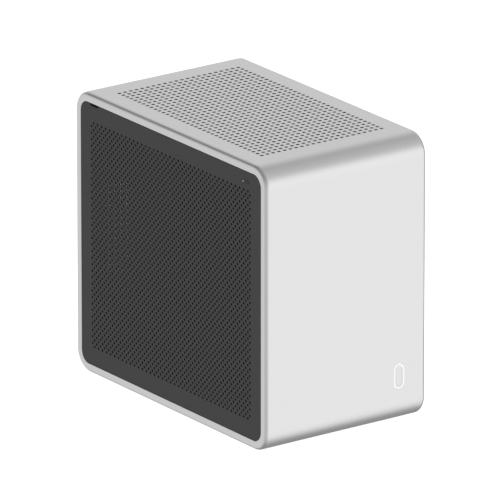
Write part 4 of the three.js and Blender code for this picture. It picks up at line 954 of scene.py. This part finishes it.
def blade_part(root, tip, height, count, rows=10, across=8, thickness=1.1):
    """One fan blade. Along the radius r from root to tip the chord spans the angle
    (t * 0.84 * 2 pi / count) + 0.32 s, with s from 0 at the root to 1 at the tip and t from -0.5 to 0.5, and rises
    by -t * height * (1 - 0.25 s) + 0.6 (1 - 4 t^2). Its thickness falls off as 1 - 0.8 (2 t)^4."""
    s = np.linspace(0, 1, rows)[:, None]
    t = np.linspace(-0.5, 0.5, across)[None, :]
    r = root + (tip - root) * s
    angle = t * 0.84 * 2 * np.pi / count + 0.32 * s
    rise = -t * height * (1 - 0.25 * s) + 0.6 * (1 - 4 * t ** 2)
    half = 0.5 * thickness * (1 - 0.8 * (2 * np.abs(t)) ** 4) + 0 * s
    upper = np.stack([r * np.cos(angle), r * np.sin(angle), rise + half], axis=-1)
    lower = np.stack([r * np.cos(angle), r * np.sin(angle), rise - half], axis=-1)
    section = np.concatenate([upper, lower[:, ::-1]], axis=1)
    wide = section.shape[1]
    caps = [np.arange(wide)[None], np.arange(wide)[None, ::-1] + wide * (rows - 1)]
    return section.reshape(-1, 3), [grid_faces(rows, wide, False, True).reshape(-1, 4), *caps]


def rotor_parts(hub, tip, height, count):
    """Hub and blades about +Z, centred on the origin, as one list of parts."""
    half = height / 2
    t = np.linspace(0, np.pi / 2, 5)
    edge = 1.4
    profile = np.vstack([[0, -half], [hub - 3, -half], [hub - 2.6, -half + 0.25],
                         np.stack([hub - edge + edge * np.sin(t), -half + 0.25 + edge * (1 - np.cos(t))], axis=1),
                         [hub, half], [0, half]])
    parts = [lathe_part(facing("z"), profile, 48)]
    points, faces = blade_part(hub - 2, tip, height - 2.6, count)
    for k in range(count):
        c, s = math.cos(2 * math.pi * k / count), math.sin(2 * math.pi * k / count)
        parts.append((points @ np.array([[c, s, 0], [-s, c, 0], [0, 0, 1]]), faces))
    return parts


def moved(parts, matrix, at):
    """The parts turned by a matrix and moved."""
    return [(np.asarray(points).reshape(-1, 3) @ np.asarray(matrix, float).T + at, faces) for points, faces in parts]


TO_LEFT = [[0, 0, -1], [0, 1, 0], [1, 0, 0]]     # +Z to -X
TO_REAR = [[1, 0, 0], [0, 0, 1], [0, -1, 0]]     # +Z to +Y
TO_DOWN = [[1, 0, 0], [0, -1, 0], [0, 0, -1]]    # +Z to -Z
UPRIGHT = [[1, 0, 0], [0, 1, 0], [0, 0, 1]]


def fan_frame_parts(size, thickness, bore, hub):
    """A fan's frame about +Z, centred on the origin: two square flanges with screw holes, a tube between them,
    and a motor plate on four struts."""
    half, flange, corner = thickness / 2, 3.2, 7.0
    screw = size / 2 - 7.5
    holes = [round_loop(2.15, 16, u * screw, v * screw) for u in (-1, 1) for v in (-1, 1)]
    outer = rounded_loop(size / 2, size / 2, corner, 6)[0]
    circle = round_loop(bore, 64)
    parts = slab_parts(facing("z", (0, 0, half)), outer, flange, [circle, *holes], 0.4)
    parts += slab_parts(facing("-z", (0, 0, -half)), outer, flange, [circle, *holes], 0.4)
    inner = half - flange + 0.1
    tube = [(bore, -inner), (bore + 2.4, -inner), (bore + 2.4, inner), (bore, inner)]
    parts.append(lathe_part(facing("z"), tube, 64, True))
    plate = hub + 1
    disc = [(0, 0), (plate - 0.6, 0), (plate, 0.5), (plate, 2), (0, 2)]
    parts.append(lathe_part(facing("-z", (0, 0, -half)), disc, 48))
    for k in range(4):
        a = math.radians(25 + 90 * k)
        c, s = math.cos(a), math.sin(a)
        low, high = [plate - 3, -1.5, -half + 0.1], [bore + 1.6, 1.5, -half + 1.9]
        points, faces = box_part(low, high)
        parts.append((points @ np.array([[c, s, 0], [-s, c, 0], [0, 0, 1]]), faces))
    return parts


class TOWER_OT_fans(bpy.types.Operator):
    """Make the three case and cooler fans and the rotors of the graphics card and the power supply"""
    bl_idname = "tower.make_fans"
    bl_label = "Fans"

    def execute(self, context):
        for name, turn in (("cpu_fan", TO_LEFT), ("top_fan_front", UPRIGHT), ("top_fan_rear", UPRIGHT)):
            low, high = node_box(name + "_frame")
            thin = int(np.argmin(high - low))
            size, thickness = (high - low).max(), (high - low)[thin]
            frame_parts = fan_frame_parts(size, thickness, size / 2 - 3.5, 20)
            make_piece(name + "_housing", moved(frame_parts, turn, (low + high) / 2), "plastic", [name + "_frame"])
            rotor = rotor_parts(20, size / 2 - 4.8, thickness - 4.5, 9)
            rotor = moved(rotor, turn, self.axis(name + "_rotor", low, high, thin))
            make_piece(name + "_impeller", rotor, "grey", [name + "_rotor"], body=name + "_rotor",
                       slot="black_plastic")
        for name, turn, hub, count in (("gpu_fan_front", TO_DOWN, 15, 11), ("gpu_fan_rear", TO_DOWN, 15, 11),
                                       ("psu_fan_rotor", TO_REAR, 16, 11)):
            low, high = node_box(name)
            thin = int(np.argmin(high - low))
            joint = next(j for j in frame["joints"] if j["child"] == name)
            middle = np.array(joint["pos_m"]) / MM
            middle[thin] = (low[thin] + high[thin]) / 2
            tip = 42 if name.startswith("gpu") else 43
            rotor = rotor_parts(hub, tip, (high - low)[thin], count)
            make_piece(name + "_impeller", moved(rotor, turn, middle), "grey", [name], body=name,
                       slot="black_plastic")
        return {"FINISHED"}

    def axis(self, rotor, low, high, thin):
        """The rotor's own middle along its axis, on the frame's middle across it."""
        middle = (low + high) / 2
        middle[thin] = middle_of(rotor)[thin]
        return middle


# ---------------------------------------------------------------- boards, cooler, graphics card

class TOWER_OT_boards(bpy.types.Operator):
    """Make what stands on the motherboard, the cooler and the memory"""
    bl_idname = "tower.make_boards"
    bl_label = "Boards and cooler"

    def execute(self, context):
        low, high = node_box("motherboard")
        face = low[0]
        rng = np.random.default_rng(7)
        spots = []
        taken = [node_box(n) for n in (
            "cpu_socket", "ssd_heatsink", "vrm_heatsink", "pcie_slot", "dimm_slot_1", "dimm_slot_2", "dimm_latch_1",
            "dimm_latch_2", "usb_ports", "display_ports", "network_jack", "audio_jacks", "atx_cable",
            "front_panel_cable", "cooler_base")]
        for y, z, w, h in zip(rng.uniform(low[1] + 4, high[1] - 6, 420), rng.uniform(low[2] + 4, high[2] - 4, 420),
                              rng.choice([1.2, 2.0, 3.2, 5.0], 420), rng.choice([0.8, 1.2, 2.4, 4.0], 420)):
            if all(y + w < a[1] - 1 or y > b[1] + 1 or z + h < a[2] - 1 or z > b[2] + 1 for a, b in taken):
                spots.append((y, z, w, h))
                taken.append(((0, y - 0.2, z - 0.2), (0, y + w + 0.2, z + h + 0.2)))
        y, z, w, h = np.array(spots).T
        tall = 0.4 + 0.25 * np.minimum(w, h)
        chips = boxes_part(np.stack([face - tall, y, z], axis=1),
                           np.stack([0 * y + face + 0.05, y + w, z + h], axis=1))
        make_piece("board_chips", [chips], "grey", slot="black_plastic", smooth=False)

        vrm_low, vrm_high = node_box("vrm_heatsink")
        caps = [lathe_part(facing("-x", (face - 7, y, vrm_low[2] - 6)),
                           [(0, 0), (2.6, 0), (3.1, 0.4), (3.1, 6.4), (2.9, 6.7), (3.1, 7.05), (0, 7.05)], 20)
                for y in np.arange(vrm_low[1] + 4, vrm_high[1] - 3, 8.5)]
        make_piece("board_capacitors", caps, "bare")

        low, high = node_box("cooler_fins")
        y = np.linspace(low[1], high[1] - 0.5, 46)
        fin_low = np.stack([0 * y + low[0], y, 0 * y + low[2]], axis=1)
        fins = boxes_part(fin_low, fin_low + [high[0] - low[0] - 1.2, 0.5, high[2] - low[2]])
        parts = [fins, box_part((high[0] - 1.6, low[1], low[2]), high)]
        make_piece("fin_stack", parts, "bare", ["cooler_fins"], smooth=False)

        low, high = node_box("cooler_base")
        cpu_low, _ = node_box("cpu")
        middle_y = (low[1] + high[1]) / 2
        middle_z = (low[2] + high[2]) / 2
        plate_x = cpu_low[0] - 0.3
        pipe_x, high_x = plate_x - 5, plate_x - 5 - 37.5
        half = 20
        block_place = facing("-x", (plate_x - 10, middle_y, middle_z))
        parts = slab_parts(block_place, rounded_loop(half, half, 1.5, 4)[0], 10, [], 0.8)
        for i in range(4):
            way = 1 if i % 2 else -1
            route = [(pipe_x, -way * 14), (pipe_x, way * 23), (pipe_x - 3.9, way * 32.1), (pipe_x - 13, way * 36),
                     (high_x + 13, way * 36), (high_x + 3.9, way * 32.1), (high_x, way * 23), (high_x, -way * 36)]
            y_pipe = middle_y + (i - 1.5) * 10
            parts.append(tube_part([(x, y_pipe, middle_z + z) for x, z in route], 3.0, 20, 80))
        make_piece("heat_pipes", parts, "copper", ["cooler_base"])

        for number in (1, 2):
            name = f"ram_module_{number}"
            low, high = node_box(name)
            outline = np.array([[low[2], low[0] + 3], [low[2] + 8, low[0] + 3], [low[2] + 12, low[0]],
                                [high[2] - 12, low[0]], [high[2] - 8, low[0] + 3], [high[2], low[0] + 3],
                                [high[2], low[0] + 26], [low[2], low[0] + 26]])
            place = lambda u, v, d: np.stack([v + 0 * u, low[1] + d + 0 * u, u], axis=-1)
            parts = [plane_part(place, 0, outline), plane_part(place, high[1] - low[1], outline),
                     wall_part(place, outline, 0, high[1] - low[1])]
            z = np.linspace(low[2] + 14, high[2] - 18, 9)
            ribs = np.stack([0 * z + low[0] + 6, 0 * z + low[1] - 0.3, z], axis=1)
            parts.append(boxes_part(ribs, ribs + [14, high[1] - low[1] + 0.6, 4]))
            y = (low[1] + high[1]) / 2
            parts.append(box_part((low[0] + 25, y - 0.65, low[2]), (high[0], y + 0.65, high[2])))
            make_piece(name + "_spreader", parts, "grey", [name], smooth=False)
        return {"FINISHED"}


class TOWER_OT_card(bpy.types.Operator):
    """Make the graphics card's shroud, back plate and fins, and the power supply's grille"""
    bl_idname = "tower.make_card"
    bl_label = "Graphics card and power supply"

    def execute(self, context):
        low, high = node_box("gpu_shroud")
        fans = [np.array(j["pos_m"][:2]) / MM for j in frame["joints"] if j["child"].startswith("gpu_fan")]
        place = facing("-z", (0, 0, low[2]))
        wall, depth = 1.6, high[2] - low[2]
        outer = corner_loop(low[:2], high[:2], 5.0, 8)
        inner = corner_loop(low[:2] + wall, high[:2] - wall, 3.6, 8)
        face = corner_loop(low[:2] + 2.2, high[:2] - 2.2, 4.0, 8)
        wide = [round_loop(45.4, 72, *fan) for fan in fans]
        bores = [round_loop(43.5, 72, *fan) for fan in fans]
        parts = [plane_part(place, 0, face, *wide), plane_part(place, wall, inner, *bores),
                 loops_part(place, [(face, 0), (outer, 1.6), (outer, depth), (inner, depth), (inner, wall)])]
        parts += [loops_part(place, [(a, 0), (b, 0.9), (b, wall)]) for a, b in zip(wide, bores)]
        make_piece("card_shroud", parts, "plastic", ["gpu_shroud"])

        low, high = node_box("gpu_backplate")
        place = facing("z", (0, 0, high[2]))
        slots = [corner_loop((x, high[1] - 16 - 9 * k), (x + 26, high[1] - 12 - 9 * k), 1.9, 5)
                 for k in range(6) for x in (low[0] + 12, low[0] + 60)]
        parts = slab_parts(place, corner_loop(low[:2], high[:2], 2.0), high[2] - low[2], slots, 0.3)
        make_piece("card_backplate", parts, "grey", ["gpu_backplate"])

        low, high = node_box("gpu_heatsink")
        y = np.linspace(low[1], high[1] - 0.5, 84)
        fin_low = np.stack([0 * y + low[0], y, 0 * y + low[2]], axis=1)
        parts = [boxes_part(fin_low, fin_low + [high[0] - low[0], 0.5, high[2] - low[2] - 4]),
                 box_part((low[0], low[1], high[2] - 5.5), high)]
        make_piece("card_fins", parts, "bare", ["gpu_heatsink"], smooth=False)

        low, high = node_box("psu_case")
        axis = next(np.array(j["pos_m"]) / MM for j in frame["joints"] if j["child"] == "psu_fan_rotor")
        place = facing("y", (axis[0], high[1] + 1.0, axis[2]))
        t = np.arange(8) * np.pi / 4
        wires = [lathe_part(place, np.stack([r + 0.75 * np.cos(t), 0.75 * np.sin(t)], axis=1), 64, True)
                 for r in (9, 16, 23, 30, 37, 44)]
        for a in (45, 135, 225, 315):
            c, s = math.cos(math.radians(a)), math.sin(math.radians(a))
            spoke = [(axis[0] + c * r, high[1] + 0.1, axis[2] + s * r) for r in (8, 20, 33, 47)]
            wires.append(tube_part(spoke, 0.8, 8, 12))
        wires.append(lathe_part(place, [(0, 0.2), (5, 0.2), (5, 1.0), (0, 1.0)], 32))
        make_piece("psu_grille", wires, "steel")
        return {"FINISHED"}


# ---------------------------------------------------------------- leads

# Each lead: its node, the box of its plug if it has one, the points it runs through, its radius and the number
# of wires in the bundle, 0 for a round sheath.
LEADS = (
    ("ac_lead", None, (
        (30, -106.2, 216.3), (30, -106.2, 223.3), (27, -94.2, 230.5), (20, -70, 232.5), (2, -20, 232.5),
        (-16, 30, 232.5), (-34, 76, 232.5), (-48, 101.7, 224.5), (-48, 112.7, 214.5), (-48, 119.7, 214.5)), 3.2, 0),
    ("atx_cable", ((33.1, -32.5, 98), (57.65, -23.5, 150)), (
        (35, -28, 124), (25, -28, 124), (17, -36, 114), (16, -52, 83.7), (17, -68.5, 75.7), (19, -88.5, 75.7),
        (20, -106.2, 83.7), (20, -106.2, 91.7)), 4.2, 9),
    ("gpu_cable", ((-40.8, -107, 52), (-20.9, -91.3, 63.8)), (
        (-30.9, -106, 58), (-30.9, -113, 58), (-29.9, -119, 67), (-28.9, -112.5, 81.7), (-27.9, -104.5, 83.7),
        (-27.9, -104.5, 91.7)), 3.5, 6),
    ("front_panel_cable", ((49.7, -31, 56), (57.65, -25, 61)), (
        (56.2, -129.5, 37.8), (56.2, -122.5, 37.8), (55.2, -97.5, 39.8), (54.2, -63, 50.5), (53.7, -39, 58.5),
        (53.7, -29, 58.5)), 1.6, 0),
)


class TOWER_OT_leads(bpy.types.Operator):
    """Make the leads inside the case"""
    bl_idname = "tower.make_leads"
    bl_label = "Inner leads"

    def execute(self, context):
        for name, plug, points, radius, strands in LEADS:
            parts = [tube_part(points, radius, 6 * strands if strands else 16, 110, strands, 0.16)]
            if plug:
                parts.append(box_part(*plug))
            make_piece(name + "_sheath", parts, "cable", [name])
        return {"FINISHED"}


# ---------------------------------------------------------------- stage

# The soft boxes of the studio: the direction of each one's middle, its brightness, and the angles in degrees
# between which it fades to nothing. The last two are dark flags, which take light away.
SOFT_BOXES = (
    ((0.45, -0.85, -0.25), 0.90, 22, 58),
    ((0.45, 0.85, 0.15), 0.58, 20, 59),
    ((-0.65, 0.70, -0.35), 0.58, 18, 46),
    ((0.25, 0.0, 1.0), 0.17, 10, 60),
    ((0.55, -0.60, 0.58), 0.23, 12, 48),
    ((-0.75, -0.60, -0.30), 0.44, 18, 50),
    ((-0.31, 0.77, 0.56), -0.20, 8, 36),
    ((0.94, 0.10, -0.32), -0.20, 8, 32),
)
DIM = 0.29               # brightness of the studio between the soft boxes
FLOOR_REACH = 40000      # radius of the floor, a flat disc
CAMERA_PLACE = (-5.2929, -7.3751, 3.2081)        # in metres


def studio_world():
    """White to the camera. Everything else sees a dim room with round soft boxes: the brightness in a direction is
    DIM plus, for each box, its brightness * smoothstep of the cosine of the angle to the box's middle."""
    world = bpy.data.worlds.new("studio")
    world.use_nodes = True
    tree = world.node_tree
    tree.nodes.clear()
    direction = add_node(tree, "ShaderNodeTexCoord").outputs["Generated"]
    total = None
    for middle, bright, near, far in SOFT_BOXES:
        unit = Vector(middle).normalized()
        across = add_node(tree, "ShaderNodeVectorMath", {"operation": "DOT_PRODUCT"}, {0: direction})
        across.inputs[1].default_value = unit
        fade = add_node(tree, "ShaderNodeMapRange", {
            "interpolation_type": "SMOOTHSTEP", "From Min": math.cos(math.radians(far)),
            "From Max": math.cos(math.radians(near)), "To Min": 0.0, "To Max": bright},
            {"Value": across.outputs["Value"]})
        total = add_sum(tree, fade.outputs["Result"], total)
    soft = add_node(tree, "ShaderNodeBackground", {"Color": (1, 1, 1, 1)}, {"Strength": total})
    white = add_node(tree, "ShaderNodeBackground", {"Color": (1, 1, 1, 1), "Strength": 1.0})
    seen = add_node(tree, "ShaderNodeLightPath").outputs["Is Camera Ray"]
    mix = add_node(tree, "ShaderNodeMixShader", links={0: seen, 1: soft.outputs[0], 2: white.outputs[0]})
    add_node(tree, "ShaderNodeOutputWorld", links={"Surface": mix.outputs[0]})
    return world


def add_sum(tree, value, total):
    """The sum of two brightnesses, starting from DIM."""
    plus = add_node(tree, "ShaderNodeMath", {"operation": "ADD"}, {0: value})
    if total is None:
        plus.inputs[1].default_value = DIM
    else:
        tree.links.new(total, plus.inputs[1])
    return plus.outputs[0]


def lit_paper(colour, glow):
    """Matt white paper, lit evenly from below as well, as on a light table."""
    return new_material("matt_paper", colour, 0.0, 1.0, **{
        "Specular IOR Level": 0.0, "Emission Color": linear("#ffffff"), "Emission Strength": glow})[0]


class TOWER_OT_stage(bpy.types.Operator):
    """Make the floor, the lights and the camera"""
    bl_idname = "tower.make_stage"
    bl_label = "Stage"

    def execute(self, context):
        scene = context.scene
        s = scene.tower_stage
        scene.view_settings.view_transform = "Standard"

        angle = np.linspace(0, 2 * np.pi, 65)[:-1]
        disc = np.stack([FLOOR_REACH * np.cos(angle), FLOOR_REACH * np.sin(angle), 0 * angle - 0.05], axis=1) * MM
        mesh = bpy.data.meshes.new("floor")
        mesh.from_pydata(disc.tolist(), [], [list(range(64))])
        floor = bpy.data.objects.new("floor", mesh)
        scene.collection.objects.link(floor)
        mesh.materials.append(lit_paper(s.floor_colour, s.floor_glow))
        floor.visible_glossy = floor.visible_diffuse = floor.visible_transmission = floor.visible_shadow = False
        scene.world = studio_world()

        back = np.array([
            math.sin(s.azimuth) * math.cos(s.elevation), -math.cos(s.azimuth) * math.cos(s.elevation),
            math.sin(s.elevation)])
        camera = bpy.data.objects.new("camera", bpy.data.cameras.new("camera"))
        scene.collection.objects.link(camera)
        camera.data.lens = s.lens
        camera.data.sensor_width = 36
        camera.data.clip_end = 200
        camera.location = Vector(CAMERA_PLACE)
        camera.rotation_mode = "QUATERNION"
        camera.rotation_quaternion = Vector(-back).to_track_quat("-Z", "Y")
        scene.camera = camera
        return {"FINISHED"}


# ---------------------------------------------------------------- panel and registration

STEPS = (TOWER_OT_stage, TOWER_OT_sleeve, TOWER_OT_side_panels, TOWER_OT_button, TOWER_OT_feet, TOWER_OT_rear,
         TOWER_OT_fans, TOWER_OT_boards, TOWER_OT_card, TOWER_OT_leads)
SETTINGS = {"tower_sleeve": SleeveSettings, "tower_panel": PanelSettings, "tower_stage": StageSettings}
# the look of each of the record's slots, for the pieces that stay as CAD made them
CAD_LOOKS = {slot: look for look, slot in SLOTS.items() if look not in ("teal", "ink", "gold")}


class TOWER_PT_build(bpy.types.Panel):
    """Lists the steps that build the tower"""
    bl_label = "Desktop tower"
    bl_idname = "TOWER_PT_build"
    bl_space_type = "VIEW_3D"
    bl_region_type = "UI"
    bl_category = "Tower"

    def draw(self, context):
        for name, group in SETTINGS.items():
            for key in group.__annotations__:
                self.layout.prop(getattr(context.scene, name), key)
        for step in STEPS:
            self.layout.operator(step.bl_idname)


def register():
    for item in (*SETTINGS.values(), *STEPS, TOWER_PT_build):
        bpy.utils.register_class(item)
    for name, group in SETTINGS.items():
        setattr(bpy.types.Scene, name, bpy.props.PointerProperty(type=group))


def unregister():
    for name in SETTINGS:
        delattr(bpy.types.Scene, name)
    for item in reversed((*SETTINGS.values(), *STEPS, TOWER_PT_build)):
        bpy.utils.unregister_class(item)


def main():
    register()
    scene = bpy.context.scene
    make_materials(aluminium=scene.tower_sleeve.colour, powder_coat=scene.tower_panel.colour)
    for step in STEPS:
        getattr(bpy.ops.tower, step.bl_idname.split(".")[1])()
    slots = {part["node"]: part["material_slot"] for part in frame["record"]["subparts"]}
    for name, node in frame["nodes"].items():
        node.data.materials.clear()
        node.data.materials.append(MATERIALS[CAD_LOOKS[slots[name]]])
        node.data.shade_smooth()
        node.data.set_sharp_from_angle(angle=SHARP)


if __name__ == "__main__":
    main()
